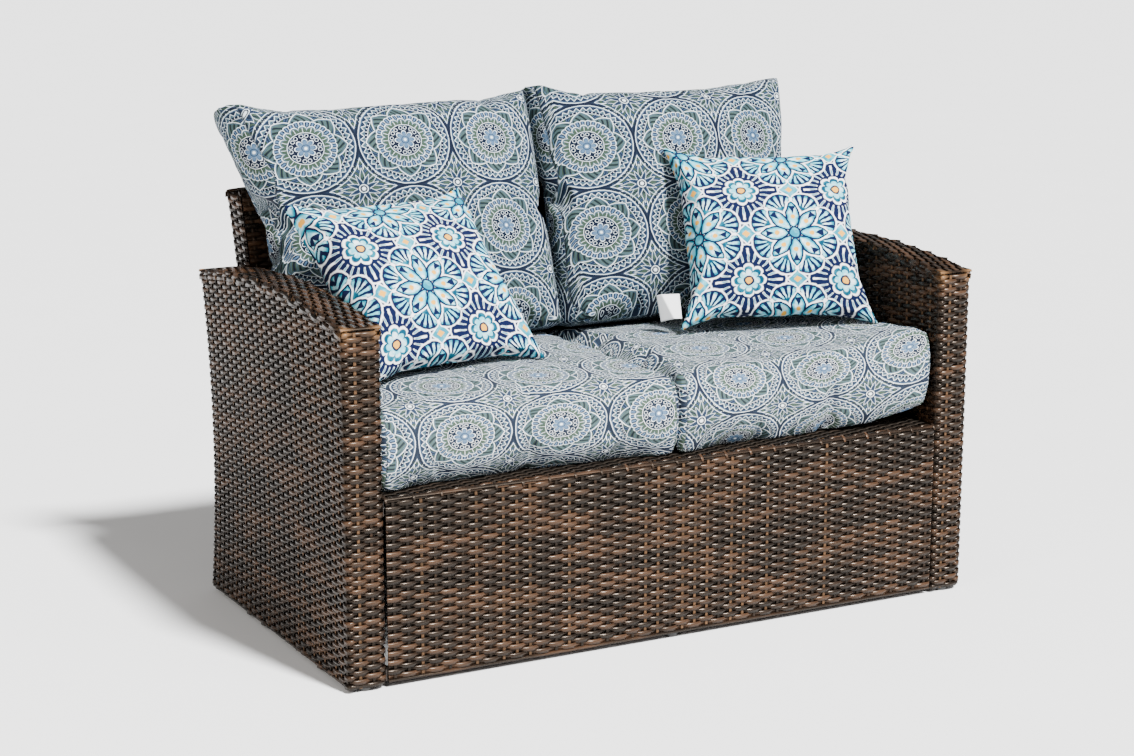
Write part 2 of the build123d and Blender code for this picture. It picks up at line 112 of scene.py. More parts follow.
def new_finish(name, rough, **settings):
    """A material with its shader, whose own sockets take the settings by name."""
    finish = bpy.data.materials.new(name)
    finish.use_nodes = True
    shader = finish.node_tree.nodes["Principled BSDF"]
    shader.inputs["Roughness"].default_value = rough
    for place, value in settings.items():
        shader.inputs[place.replace("_", " ")].default_value = value
    return finish, finish.node_tree, shader


floor_finish, floor_tree, floor_shader = new_finish("pale floor", 0.9)
place = add_node(floor_tree, "ShaderNodeTexCoord").outputs["Object"]
tint = add_node(floor_tree, "ShaderNodeValToRGB", {"Fac": noise(floor_tree, place, 3.0, 4.0)})
tint.color_ramp.elements[0].color = (0.86, 0.86, 0.86, 1.0)
tint.color_ramp.elements[1].color = (0.90, 0.90, 0.90, 1.0)
floor_tree.links.new(tint.outputs["Color"], floor_shader.inputs["Base Color"])
floor_half = 30.0
floor_mesh = bpy.data.meshes.new("studio_floor")
around = ((-1, -1), (1, -1), (1, 1), (-1, 1))
floor_mesh.from_pydata([(x * floor_half, y * floor_half, 0) for x, y in around], [], [range(4)])
floor_mesh.materials.append(floor_finish)
floor = put("studio_floor", floor_mesh)


# Resin strand: half-flat extruded polyethylene in two tones of espresso and brown that
# run into each other along its length, with fine drawn grain and a satin sheen.
resin, resin_tree, resin_shader = new_finish(
    "resin strand", 0.34, Specular_IOR_Level=0.24, Specular_Tint=(1.0, 0.82, 0.66, 1.0)
)


def worked(tree, operation, first, second=0.0, third=0.0):
    """One step of arithmetic on values of a material."""
    inputs = {0: first, 1: second, 2: third}
    return add_node(tree, "ShaderNodeMath", inputs, operation=operation).outputs[0]


def clamped(tree, first, second, third):
    """First times second plus third, kept between nought and one."""
    inputs = {0: first, 1: second, 2: third}
    return add_node(
        tree, "ShaderNodeMath", inputs, operation="MULTIPLY_ADD", use_clamp=True
    ).outputs[0]


def stored(tree, name):
    """What the points of a mesh keep under a name."""
    return add_node(tree, "ShaderNodeAttribute", attribute_name=name).outputs


def vector(tree, x=0.0, y=0.0, z=0.0):
    return add_node(tree, "ShaderNodeCombineXYZ", {"X": x, "Y": y, "Z": z}).outputs[0]


def split(tree, place):
    return add_node(tree, "ShaderNodeSeparateXYZ", {"Vector": place}).outputs


def mixed(tree, share, under, over, data_type="RGBA", **settings):
    """One colour or place mixed over another by a share."""
    inputs = {"Factor": share, "A": under, "B": over}
    return add_node(
        tree, "ShaderNodeMix", inputs, data_type=data_type, **settings
    ).outputs["Result"]


def finished(tree, shader, colour, height, strength, distance=1.0):
    """Gives a shader its colour and the relief of a height."""
    inputs = {"Height": height, "Strength": strength, "Distance": distance}
    bump = add_node(tree, "ShaderNodeBump", inputs)
    tree.links.new(colour, shader.inputs["Base Color"])
    tree.links.new(bump.outputs["Normal"], shader.inputs["Normal"])


def step(operation, *values):
    """One step of arithmetic on values of the resin."""
    return worked(resin_tree, operation, *values)


stake_numbers, strip_numbers = 500.0, 900.0
along, across, number = split(resin_tree, stored(resin_tree, "strand_place")["Vector"])
tone_place = vector(
    resin_tree,
    step("MULTIPLY", along, 7.5),
    step("MULTIPLY", number, 0.43),
    step("MULTIPLY", number, 0.013),
)
tone = noise(resin_tree, tone_place, 1.0, 2.0)
own_tone = add_node(
    resin_tree, "ShaderNodeTexWhiteNoise", {"W": number}, noise_dimensions="1D"
).outputs["Value"]
tone_sum = step("MULTIPLY_ADD", own_tone, 0.16, step("SUBTRACT", tone, 0.08))
tones = add_node(resin_tree, "ShaderNodeValToRGB", {"Fac": tone_sum})
tones.color_ramp.elements[0].position = 0.40
tones.color_ramp.elements[0].color = (0.0040, 0.0031, 0.0026, 1.0)
tones.color_ramp.elements[1].position = 0.62
tones.color_ramp.elements[1].color = (0.050, 0.0255, 0.0140, 1.0)
middle = tones.color_ramp.elements.new(0.50)
middle.color = (0.0135, 0.0080, 0.0053, 1.0)

grain_place = vector(
    resin_tree, step("MULTIPLY", along, 40.0), step("MULTIPLY", across, 1600.0), number
)
grain = noise(resin_tree, grain_place, 1.0, 3.0)
shade = mixed(
    resin_tree,
    step("MULTIPLY", grain, 0.22),
    tones.outputs["Color"],
    (0.032, 0.020, 0.013, 1.0),
)
# Some upright stakes are tan and the rest dark, the dark ones partly their own colour and partly
# painted shade of their hollow. Rubbed corners are tan too, partly a painted highlight. Painted
# shade lies where a strand dips under, and a painted shadow where the wear is less than nothing.
stake_here = step("COMPARE", number, stake_numbers + 100.0, 150.0)
tan_stake = step("MULTIPLY", stake_here, step("GREATER_THAN", own_tone, 0.76))
dark_stake = step("SUBTRACT", stake_here, tan_stake)
wear_and_painted_light = stored(resin_tree, "wear_and_painted_light")["Fac"]
tan_wear_and_highlight = step("MAXIMUM", wear_and_painted_light, step("MULTIPLY", tan_stake, 0.27))
shade = mixed(resin_tree, tan_wear_and_highlight, shade, (0.22, 0.115, 0.050, 1.0))
sunk = clamped(resin_tree, stored(resin_tree, "lift")["Fac"], -520.0, -0.20)
shaded = step("MAXIMUM", sunk, step("MULTIPLY", dark_stake, 0.75))
shaded = step("MAXIMUM", shaded, step("MULTIPLY", wear_and_painted_light, -1.0))
dark_stake_and_shade_share = step("MULTIPLY", shaded, 0.85)
# Painted shade: the strand is mixed towards near black by the share above.
shade = mixed(resin_tree, dark_stake_and_shade_share, shade, (0.0040, 0.0034, 0.0030, 1.0))
half_round = step("MULTIPLY", step("MULTIPLY", across, across), -165.0)
surface = step("MULTIPLY_ADD", grain, 0.00012, half_round)
finished(resin_tree, resin_shader, shade, surface, 1.0)
rough = step("MULTIPLY_ADD", grain, 0.14, 0.19)
dull = step("MAXIMUM", shaded, step("MULTIPLY", stake_here, 0.8))
rough = step("MULTIPLY_ADD", dull, 0.40, rough)
resin_tree.links.new(rough, resin_shader.inputs["Roughness"])


# Woven sheet: at each crossing a strand goes over or under an upright stake, so that
# neighbouring rows pass on opposite sides. It is laid flat here and bent on to the frame later.
stake_spacing = 0.0251
row_spacing = 0.00773
strand_width = 0.0090
strand_thickness = 0.0019
strand_rise = 0.0020
stake_width = 0.0052
crown_share = 0.42


def new_group(name, kind, takes, gives):
    """A node group with its sockets by name and kind, and what it is given."""
    group = bpy.data.node_groups.new(name, kind)
    for way, sockets in (("INPUT", takes), ("OUTPUT", gives)):
        for title, sort in sockets.items():
            group.interface.new_socket(title, in_out=way, socket_type="NodeSocket" + sort)
    return group, add_node(group, "NodeGroupInput").outputs


weave_sizes = {
    "Stake spacing": stake_spacing,
    "Row spacing": row_spacing,
    "Strand width": strand_width,
    "Strand thickness": strand_thickness,
    "Rise": strand_rise,
    "Stake width": stake_width,
}
woven, given = new_group(
    "woven sheet",
    "GeometryNodeTree",
    {
        "Crossings": "Geometry",
        **dict.fromkeys(weave_sizes, "Float"),
        "Steps": "Int",
        "Resin": "Material",
    },
    {"Sheet": "Geometry"},
)


def woven_step(operation, *values):
    """One step of arithmetic on values of the woven sheet."""
    return worked(woven, operation, *values)


def sheet_node(kind, inputs, **settings):
    """What a geometry node of the woven sheet gives out first."""
    return add_node(woven, "GeometryNode" + kind, inputs, **settings).outputs[0]


def laid_strand(start, end, width, count, rise=None):
    """A short piece of half-flat strand, raised in a wave if rise is given."""
    path = sheet_node("CurvePrimitiveLine", {"Start": start, "End": end})
    path = sheet_node("ResampleCurve", {"Curve": path, "Count": count})
    if rise:
        path = sheet_node("SetPosition", {"Geometry": path, "Offset": rise})
    path = sheet_node("SetCurveNormal", {"Curve": path}, mode="Z_UP")
    sizes = {
        "Bottom Width": width,
        "Top Width": woven_step("MULTIPLY", width, crown_share),
        "Offset": 0.0,
        "Height": given["Strand thickness"],
    }
    section = sheet_node("CurvePrimitiveQuadrilateral", sizes, mode="TRAPEZOID")
    return sheet_node("CurveToMesh", {"Curve": path, "Profile Curve": section})


def at_crossings(strand, **chosen):
    """A strand laid at each crossing, or at the chosen ones."""
    inputs = {"Points": given["Crossings"], "Instance": strand, **chosen}
    return sheet_node("InstanceOnPoints", inputs)


def named_value(name):
    return sheet_node("InputNamedAttribute", {"Name": name}, data_type="FLOAT")


def keeping(geometry, name, value, data_type="FLOAT", domain="POINT"):
    """The same geometry, which now keeps a value under a name."""
    inputs = {"Geometry": geometry, "Name": name, "Value": value}
    return sheet_node("StoreNamedAttribute", inputs, data_type=data_type, domain=domain)


half_stake = woven_step("MULTIPLY", given["Stake spacing"], 0.5)
half_row = woven_step("MULTIPLY", given["Row spacing"], 0.5)
less_stake = woven_step("MULTIPLY", half_stake, -1.0)
less_row = woven_step("MULTIPLY", half_row, -1.0)
spot = split(woven, sheet_node("InputPosition", {}))
turn = woven_step("MULTIPLY", woven_step("DIVIDE", spot["X"], given["Stake spacing"]), pi)
flattened = woven_step("TANH", woven_step("MULTIPLY", woven_step("COSINE", turn), 2.0))
wave = woven_step("MULTIPLY", flattened, given["Rise"])
less_wave = woven_step("MULTIPLY", wave, -1.0)
over = woven_step("GREATER_THAN", named_value("over"), 0.0)
under = woven_step("SUBTRACT", 1.0, over)
count = woven_step("ADD", given["Steps"], 1.0)
joined = add_node(woven, "GeometryNodeJoinGeometry")
for height, chosen in ((wave, over), (less_wave, under)):
    strand = laid_strand(
        vector(woven, less_stake),
        vector(woven, half_stake),
        given["Strand width"],
        count,
        vector(woven, z=height),
    )
    woven.links.new(at_crossings(strand, Selection=chosen), joined.inputs[0])
stake = laid_strand(
    vector(woven, 0.0, less_row), vector(woven, 0.0, half_row), given["Stake width"], 2
)
stakes = keeping(at_crossings(stake), "upright", 1.0, domain="INSTANCE")
woven.links.new(stakes, joined.inputs[0])
whole = sheet_node("RealizeInstances", {"Geometry": joined.outputs[0]})
on_strand = vector(
    woven,
    spot["X"],
    woven_step("SUBTRACT", spot["Y"], named_value("row place")),
    named_value("row"),
)
on_stake = vector(
    woven,
    spot["Y"],
    woven_step("SUBTRACT", spot["X"], named_value("stake place")),
    woven_step("ADD", named_value("stake"), stake_numbers),
)
upright = woven_step("GREATER_THAN", named_value("upright"), 0.5)
choice = {"Switch": upright, "False": on_strand, "True": on_stake}
place_along = sheet_node("Switch", choice, input_type="VECTOR")
sheet = keeping(whole, "strand_place", place_along, data_type="FLOAT_VECTOR")
sheet = keeping(sheet, "lift", spot["Z"])
coloured = sheet_node("SetMaterial", {"Geometry": sheet, "Material": given["Resin"]})
add_node(woven, "NodeGroupOutput", {0: coloured})


def places(mesh):
    co = np.empty(len(mesh.vertices) * 3, np.float32)
    mesh.vertices.foreach_get("co", co)
    return co.reshape(-1, 3).astype(float)


def store(mesh, name, values):
    """Keeps a value or a place for each point of a mesh."""
    values = np.asarray(values, np.float32)
    kind, field = ("FLOAT", "value") if values.ndim == 1 else ("FLOAT_VECTOR", "vector")
    mesh.attributes.new(name, kind, "POINT").data.foreach_set(field, values.ravel())


def smoothed(mesh):
    mesh.polygons.foreach_set("use_smooth", np.ones(len(mesh.polygons), bool))


def made_mesh(piece):
    """The mesh that a piece's modifiers make at this moment."""
    graph = bpy.context.evaluated_depsgraph_get()
    return bpy.data.meshes.new_from_object(
        piece.evaluated_get(graph), preserve_all_data_layers=True, depsgraph=graph
    )


def frame_piece(name, mesh, bend):
    """Bends a flat mesh on to the frame: along, up and out become a place."""
    placed = bend(*places(mesh).T)
    mesh.vertices.foreach_set("co", placed.astype(np.float32).ravel())
    smoothed(mesh)
    mesh.set_sharp_from_angle(angle=radians(70.0))
    mesh.update()
    piece = put(name, mesh)
    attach(piece, "frame")
    return piece


def weave(name, columns, rows, keep, bend, steps=5, first_row=0, spacing=stake_spacing):
    """Weaves the crossings that keep allows and makes the sheet a piece of the frame."""
    across, up = np.meshgrid(np.arange(columns), np.arange(first_row, first_row + rows))
    across, up = across.ravel(), up.ravel()
    x = (across - (columns - 1) / 2) * spacing
    y = (up + 0.5) * row_spacing
    kept = keep(x, y)
    crossings = bpy.data.meshes.new(name)
    crossings.from_pydata(np.c_[x, y, np.zeros_like(x)][kept].tolist(), [], [])
    store(crossings, "over", ((across + up) % 2 * 2.0 - 1.0)[kept])
    store(crossings, "row", up[kept])
    store(crossings, "stake", across[kept])
    store(crossings, "row place", y[kept])
    store(crossings, "stake place", x[kept])
    grid = put(name, crossings)
    modifier = grid.modifiers.new("weave", "NODES")
    modifier.node_group = woven
    sizes = {**weave_sizes, "Stake spacing": spacing, "Steps": steps, "Resin": resin}
    for item in woven.interface.items_tree:
        if item.in_out == "INPUT" and item.name in sizes:
            modifier[item.identifier] = sizes[item.name]
    sheet = made_mesh(grid)
    bpy.data.objects.remove(grid)
    bpy.data.meshes.remove(crossings)
    sheet.name = name
    return frame_piece(name, sheet, bend)


# Arm walls: each arm is wrapped in one continuous woven band, round its outer face, its
# narrow front, its inner face and its rear, and the rows droop towards the hollow rear.
skin_inset = 0.0027
corner = 0.007
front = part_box("left_arm_outer_weave")[0].y
waist_height, waist_depth, rear_radius = 0.290, 0.635, 1.300
arm_middle = 0.590
arm_half_width = 0.035
arm_half_depth = 0.3375
arm_end, arm_crown = 0.610, 0.027
ground_gap = 0.008


def rear_depth(height, inset=0.0):
    """How far the hollow rear lies behind the front at a height."""
    radius = rear_radius + inset
    return waist_depth + rear_radius - np.sqrt(radius**2 - (height - waist_height) ** 2)


arch_radius = arm_half_depth**2 / (2 * arm_crown) + arm_crown / 2
arch_centre = arm_end + arm_crown - arch_radius
arch_middle = front + arm_half_depth


def arch_height(y):
    return arch_centre + np.sqrt(arch_radius**2 - (y - arch_middle) ** 2)


def round_box(travel, half_across, half_along):
    """A place and outward direction on a rounded box in plan, from the travel round it."""
    side = np.sign(travel)
    travel = np.abs(travel)
    flat = half_across - corner
    first = flat + corner * pi / 2
    straight = 2 * (half_along - corner)
    second = first + straight
    third = second + corner * pi / 2
    turned = np.clip((travel - flat) / corner, 0, pi / 2)
    turned = turned + np.clip((travel - second) / corner, 0, pi / 2)
    out_x, out_y = np.sin(turned), -np.cos(turned)
    x = np.minimum(travel, flat) - np.maximum(travel - third, 0) + corner * out_x
    y = -(half_along - corner) + np.clip(travel - first, 0, straight) + corner * out_y
    return side * x, y, side * out_x, out_y


def girth(half_across, half_along):
    return 4 * (half_across + half_along - 2 * corner) + 2 * pi * corner


band_stakes = 60
band_half_width = arm_half_width - skin_inset
band_nominal = girth(band_half_width, arm_half_depth - skin_inset)
band_spacing = band_nominal / band_stakes
droop_slope, droop_curve = 0.052, 0.065
droop_room = 0.075
foot_margin, cut_margin = 0.003, 0.004
wall_tan_reach, edge_tan_reach = 0.016, 0.014
sides = (("left", -1), ("right", 1))


def droop(distance):
    """How much lower a row has dropped at a distance behind the front."""
    return droop_slope * distance + droop_curve * distance**2


def arm_band(side, along, height, out):
    """A place on the band round an arm, which is as deep as the arm is at its height."""
    half = rear_depth(height) / 2 - skin_inset
    travel = along / band_nominal * girth(band_half_width, half)
    x, y, out_x, out_y = round_box(travel, band_half_width, half)
    across = side * arm_middle + x + out * out_x
    return np.c_[across, front + half + skin_inset + y + out * out_y, height]


def arm_wall(side):
    def bend(along, up, out):
        nominal = round_box(along, band_half_width, arm_half_depth - skin_inset)
        return arm_band(side, along, up - droop(nominal[1] + arm_half_depth), out)

    return bend


def arm_keep(side, which):
    def keep(x, y):
        place = arm_wall(side)(x, y, np.zeros_like(x))
        above = place[:, 2] > ground_gap + foot_margin
        return above & (place[:, 2] < arch_height(place[:, 1]) - cut_margin) & (x * which > 0)

    return keep


def add_wear_and_painted_light(piece, spots, reach):
    """Rubbed tan strand, partly a painted highlight, near the places; painted shade where the
    strength is below nothing.
    """
    co = places(piece.data)
    wear_and_painted_light = np.zeros(len(co))
    for spot_place, strength in spots:
        far = np.linalg.norm(co - np.array(spot_place), axis=1)
        near = strength * np.exp(-((far / reach) ** 2))
        wear_and_painted_light = np.where(np.abs(near) > np.abs(wear_and_painted_light), near, wear_and_painted_light)
    store(piece.data, "wear_and_painted_light", wear_and_painted_light)


def arm_corners(side, y, z, strength):
    """Both upper corners of an arm's end, for the rubbed tan with its painted highlight."""
    middle = side * arm_middle
    return [((middle + dx, y, z), strength) for dx in (-arm_half_width, arm_half_width)]


for side_name, side in sides:
    wall_rows = int((arm_end + arm_crown + droop_room) / row_spacing)
    # The front corners of the wall are rubbed tan, partly a painted highlight.
    corners = arm_corners(side, front, arm_end - 0.004, 0.85)
    for face, which in (("outer", side), ("inner", -side)):
        wall = weave(
            f"{side_name}_arm_{face}_wall",
            band_stakes,
            wall_rows,
            arm_keep(side, which),
            arm_wall(side),
            spacing=band_spacing,
        )
        add_wear_and_painted_light(wall, corners, wall_tan_reach)
        if face == "outer":
            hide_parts(f"{side_name}_arm_outer_weave", f"{side_name}_arm_front_weave")
        else:
            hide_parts(f"{side_name}_arm_inner_weave", f"{side_name}_arm_rear_weave")

# Arm caps: a woven strip along each arched top, whose rows run the length of the arm and turn
# down over both side edges to cover the ends of the wall's rows.
cap_half_width = 0.0345
cap_turn = 0.008
cap_radius = arch_radius - 0.0025


def over_edge(travel, half, turn):
    """Sideways place, drop and outward direction of a strip that turns down at its edges."""
    side = np.sign(travel)
    travel = np.abs(travel)
    flat = half - turn
    turned = np.clip((travel - flat) / turn, 0, pi / 2)
    beyond = np.maximum(travel - flat - turn * pi / 2, 0)
    sideways = np.minimum(travel, flat) + turn * np.sin(turned)
    drop = turn * (1 - np.cos(turned)) + beyond
    return side * sideways, drop, side * np.sin(turned), np.cos(turned)


def arm_cap(side):
    def bend(along, up, out):
        angle = along / cap_radius
        sideways, drop, out_across, out_up = over_edge(-up, cap_half_width, cap_turn)
        reach = cap_radius - drop + out * out_up
        x = side * arm_middle + sideways + out * out_across
        return np.c_[x, arch_middle + reach * np.sin(angle), arch_centre + reach * np.cos(angle)]

    return bend


def everywhere(x, y):
    return np.ones_like(x, bool)


cap_rows = 12
cap_columns = 27
cap_length = 2 * arch_radius * np.arcsin((arm_half_depth - 0.001) / arch_radius)
cap_shift = cap_rows * row_spacing / 2


def shifted(bend, shift):
    """The same bend, for rows that are counted from one edge of the sheet."""
    return lambda along, up, out: bend(along, up - shift, out)


for side_name, side in sides:
    cap = weave(
        f"{side_name}_arm_cap",
        cap_columns,
        cap_rows,
        everywhere,
        shifted(arm_cap(side), cap_shift),
        spacing=cap_length / cap_columns,
    )
    # The front end of the cap is rubbed tan, partly a painted highlight.
    add_wear_and_painted_light(cap, arm_corners(side, front, arm_end, 0.8), edge_tan_reach)
    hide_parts(f"{side_name}_arm_top_weave")


# Front skirt and seat deck: one woven sheet that climbs the front of the seat, turns over the
# front rail and runs back under the cushions.
seat_height = 0.325
deck_corner = 0.009
deck_rise = seat_height - skin_inset - deck_corner
skirt_columns = 44
deck_depth = 0.551


def skirt_and_deck(along, up, out):
    turned = np.clip((up - deck_rise) / deck_corner, 0, pi / 2)
    beyond = np.maximum(up - deck_rise - deck_corner * pi / 2, 0)
    reach = deck_corner + out
    y = front + skin_inset + deck_corner + beyond - reach * np.cos(turned)
    return np.c_[along, y, np.minimum(up, deck_rise) + reach * np.sin(turned)]


skirt_rows = 43
skirt = weave(
    "front_skirt",
    skirt_columns,
    skirt_rows,
    lambda x, y: y > ground_gap + cut_margin,
    skirt_and_deck,
)
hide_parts("front_skirt_weave")
deck = weave(
    "seat_deck",
    skirt_columns,
    int((deck_rise + deck_depth) / row_spacing) - skirt_rows,
    everywhere,
    skirt_and_deck,
    steps=4,
    first_row=skirt_rows,
)
# Painted shadow: the deck is darkened along its front edge, under the overhang of the cushions.
shaded_places, shade_reach = np.linspace(-0.55, 0.55, 12), 0.30
add_wear_and_painted_light(deck, [((x, front, seat_height), -1.0) for x in shaded_places], shade_reach)
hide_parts("seat_deck_weave")


# Back: a woven band wraps its rear and both narrow sides, a second sheet covers its front,
# and a strip closes its sloping top.
back_half_width = 0.555
back_half_depth = 0.040
back_height, back_rise = 0.748, 0.013
back_rows = 96
rear_columns, rear_spacing = 50, 0.0248
back_front_rows, back_front_first = 56, 42
top_rows, top_spacing = 12, 0.0252


def back_band(along, up, out):
    height = np.minimum(up, back_height + back_rise)
    half_width, half_depth = back_half_width - skin_inset, back_half_depth - skin_inset
    x, y, out_x, out_y = round_box(along, half_width, half_depth)
    middle = front + rear_depth(height) - back_half_depth
    return np.c_[-x - out * out_x, middle - y - out * out_y, up]


def back_front_sheet(along, up, out):
    y = front + rear_depth(up, 2 * back_half_depth) + skin_inset
    return np.c_[along, y - out, up]


def back_top_strip(along, up, out):
    tilt = np.arctan2(back_rise, 2 * back_half_depth)
    sideways, drop, out_across, out_up = over_edge(up, back_half_depth - 0.001, cap_turn)
    rise = -drop + out * out_up
    sideways = sideways + out * out_across
    middle_y = front + rear_depth(back_height) - back_half_depth
    middle_z = back_height + back_rise / 2 - 0.0025
    y = middle_y + sideways * np.cos(tilt) + rise * np.sin(tilt)
    return np.c_[along, y, middle_z - sideways * np.sin(tilt) + rise * np.cos(tilt)]


def back_top_at(y):
    """Height of the back's sloping top at a place."""
    middle_y = front + rear_depth(back_height) - back_half_depth
    return back_height + back_rise / 2 - (y - middle_y) * back_rise / (2 * back_half_depth)


def under_back_top(x, y):
    place = back_band(x, y, np.zeros_like(x))
    return (y > ground_gap + cut_margin) & (y < back_top_at(place[:, 1]) - cut_margin)


rear = weave(
    "back_rear_band",
    rear_columns,
    back_rows,
    under_back_top,
    back_band,
    steps=4,
    spacing=rear_spacing,
)
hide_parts("back_rear_weave", "back_left_edge_weave", "back_right_edge_weave")
back_front = weave(
    "back_front_sheet",
    skirt_columns,
    back_front_rows,
    lambda x, y: y < back_height + back_rise - cut_margin,
    back_front_sheet,
    steps=4,
    first_row=back_front_first,
)
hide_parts("back_front_weave")
back_top = weave(
    "back_top_strip",
    skirt_columns,
    top_rows,
    everywhere,
    shifted(back_top_strip, top_rows * row_spacing / 2),
    spacing=top_spacing,
)
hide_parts("back_top_weave")


# Rims: a wider strand is wrapped round the foot of every wall, where the rows end.
rim_width = 0.007
rim_thickness = 0.003
rim_height = ground_gap + rim_width / 2
skirt_rim_half, back_rim_half = 0.552, 0.615


def strip(name, spans, bend, width, thickness, steps):
    """A flat strand laid along spans of (start, end, height), then bent on to the frame."""
    mesh = bmesh.new()
    section = ((-0.5, -0.5), (0.5, -0.5), (0.32, 0.5), (-0.32, 0.5))
    strand_places = []
    for number, (start, end, height) in enumerate(spans):
        rings = []
        for along in np.linspace(start, end, steps + 1):
            ring = [(along, height + a * width, b * thickness) for a, b in section]
            rings.append([mesh.verts.new(place) for place in ring])
            strand_places += [(along, a * width, strip_numbers + number) for a, b in section]
        for first, second in zip(rings, rings[1:]):
            for k in range(4):
                mesh.faces.new((first[k], second[k], second[k - 3], first[k - 3]))
        mesh.faces.new(rings[0])
        mesh.faces.new(rings[-1][::-1])
    bmesh.ops.recalc_face_normals(mesh, faces=mesh.faces)
    sheet = bpy.data.meshes.new(name)
    mesh.to_mesh(sheet)
    mesh.free()
    store(sheet, "strand_place", strand_places)
    sheet.materials.append(resin)
    return frame_piece(name, sheet, bend)


def foot_rim(name, half, bend, steps):
    """A rim strand along the foot of a wall, half of it to each side of the middle."""
    strip(name, [(-half, half, rim_height)], bend, rim_width, rim_thickness, steps)


for side_name, side in sides:
    foot_rim(f"{side_name}_arm_foot_rim", band_nominal / 2, partial(arm_band, side), 240)
foot_rim("front_skirt_foot_rim", skirt_rim_half, skirt_and_deck, 60)
foot_rim("back_foot_rim", back_rim_half, back_band, 200)


# Edge strands: single strands close the woven edges. One runs along the front of the seat,
# tied down at every other stake, and one lies across the top of each arm's front and rear.
edge_strand = 0.0062
edge_height = 0.0024
tie_spacing = 2 * stake_spacing
seat_edge = deck_rise + deck_corner * pi / 4
skirt_half = 0.5515
tie_width, tie_thickness = 0.0046, 0.0012
tie_below, tie_above = 0.005, 0.006
nose_turn = 0.006


def lifted(bend, lift):
    """A sheet's bend for a strand along its rows, raised over them by lift."""
    return lambda along, up, out: bend(along, up, out + lift)


def turned(bend, lift):
    """A sheet's bend for a strand that crosses its rows, raised over them by lift."""
    return lambda along, up, out: bend(up, along, out + lift)


strip(
    "seat_front_edge_strand",
    [(-skirt_half, skirt_half, seat_edge + 0.0005)],
    lifted(skirt_and_deck, strand_rise),
    edge_strand,
    edge_height,
    88,
)
tie_places = np.arange(-11, 12) * tie_spacing
strip(
    "seat_front_edge_ties",
    [(seat_edge - tie_below, seat_edge + tie_above, place) for place in tie_places],
    turned(skirt_and_deck, strand_rise + edge_height * 0.7),
    tie_width,
    tie_thickness,
    6,
)


def arm_nose(side, way):
    """A strand across the top edge of an arm's front or rear, where way is -1 or 1."""

    def bend(along, up, out):
        lean = pi / 4 + up / nose_turn
        reach = nose_turn + out
        y = arch_middle + way * (arm_half_depth - nose_turn) + way * reach * np.cos(lean)
        top = arch_height(np.full_like(up, front + 0.001))
        return np.c_[side * arm_middle + along, y, top - nose_turn + reach * np.sin(lean)]

    return bend


for side_name, side in sides:
    for edge_name, way in (("front", -1), ("rear", 1)):
        nose = strip(
            f"{side_name}_arm_{edge_name}_top_strand",
            [(-arm_half_width, arm_half_width, 0.0)],
            arm_nose(side, way),
            edge_strand,
            edge_height,
            8,
        )
        nose_y = arch_middle + way * arm_half_depth
        # Both corners of the strand are rubbed tan, partly a painted highlight.
        add_wear_and_painted_light(nose, arm_corners(side, nose_y, arm_end, 0.8), edge_tan_reach)


# Frame: square steel tube under a brown-black powder coat, welded and bolted, hidden by the
# weave. Its screws and inserts are zinc plated, and its screw feet are black moulded plastic.
grit, given = new_group(
    "grit", "ShaderNodeTree", {"Scale": "Float"}, {"Grit": "Float", "Soil": "Float"}
)
spot = add_node(grit, "ShaderNodeTexCoord").outputs["Object"]
fine = noise(grit, spot, given["Scale"], 3.0)
add_node(grit, "NodeGroupOutput", {"Grit": fine, "Soil": noise(grit, spot, 18.0, 4.0)})


def coated(name, fresh, soiled, scale, relief, low_rough, high_rough, **settings):
    """A coat with fine grit in its surface and a little soil, brighter or duller in patches."""
    coat, tree, shader = new_finish(name, low_rough, **settings)
    grains = add_node(tree, "ShaderNodeGroup", {"Scale": scale}, node_tree=grit).outputs
    shade = mixed(tree, grains["Soil"], (*fresh, 1.0), (*soiled, 1.0))
    gloss = worked(tree, "MULTIPLY_ADD", grains["Soil"], high_rough - low_rough, low_rough)
    tree.links.new(gloss, shader.inputs["Roughness"])
    finished(tree, shader, shade, grains["Grit"], 0.5, relief)
    return coat


powder_coat = coated(
    "brown powder coat", (0.020, 0.013, 0.010), (0.040, 0.030, 0.024), 900.0, 0.0002, 0.35, 0.6
)
zinc = coated(
    "zinc plate", (0.62, 0.63, 0.64), (0.42, 0.42, 0.41), 1400.0, 0.00005, 0.25, 0.5, Metallic=1.0
)
black_plastic = coated(
    "black plastic", (0.012, 0.012, 0.013), (0.035, 0.033, 0.031), 1600.0, 0.0001, 0.4, 0.65
)
tube_names = ("legs", "leg", "tubes", "tube", "spacers", "posts", "rails", "rail", "plates")
for name, node in cad_nodes.items():
    if name.endswith(("bolts", "washers", "inserts")):
        coat = zinc
    elif name.endswith("foot"):
        coat = black_plastic
    elif name.endswith(tube_names):
        coat = powder_coat
    else:
        continue
    for material_slot in node.material_slots:
        material_slot.material = coat


# Cushions: soft fibre in sewn canvas covers, loose on the frame. Each starts a little smaller
# than its space and is blown up as cloth, so that it crowns and puckers along its seams.
cushion_voxel = 0.007
start_inset = 0.002
stuffing = 4.0
cover_slack = 0.03
blow_frames = 20
blow_limit = 0.025
free_growth = 0.004
gap_share = 0.4

sag_depth, sag_power = 0.16, 1.4
sag_places = (0, 0.05, 0.16, 0.35, 0.62, 0.88, 0.96, 1)
top_dip = {
    "left": (-0.002, 0.004, 0.022, 0.028, 0.024, 0.015, 0.004, -0.002),
    "right": (0.010, 0.012, 0.024, 0.038, 0.038, 0.025, 0.008, 0.000),
}
back_lean = radians(20.0)
lean_axes = np.array(
    (
        (1.0, 0.0, 0.0),
        (0.0, np.sin(back_lean), np.cos(back_lean)),
        (0.0, -np.cos(back_lean), np.sin(back_lean)),
    )
)


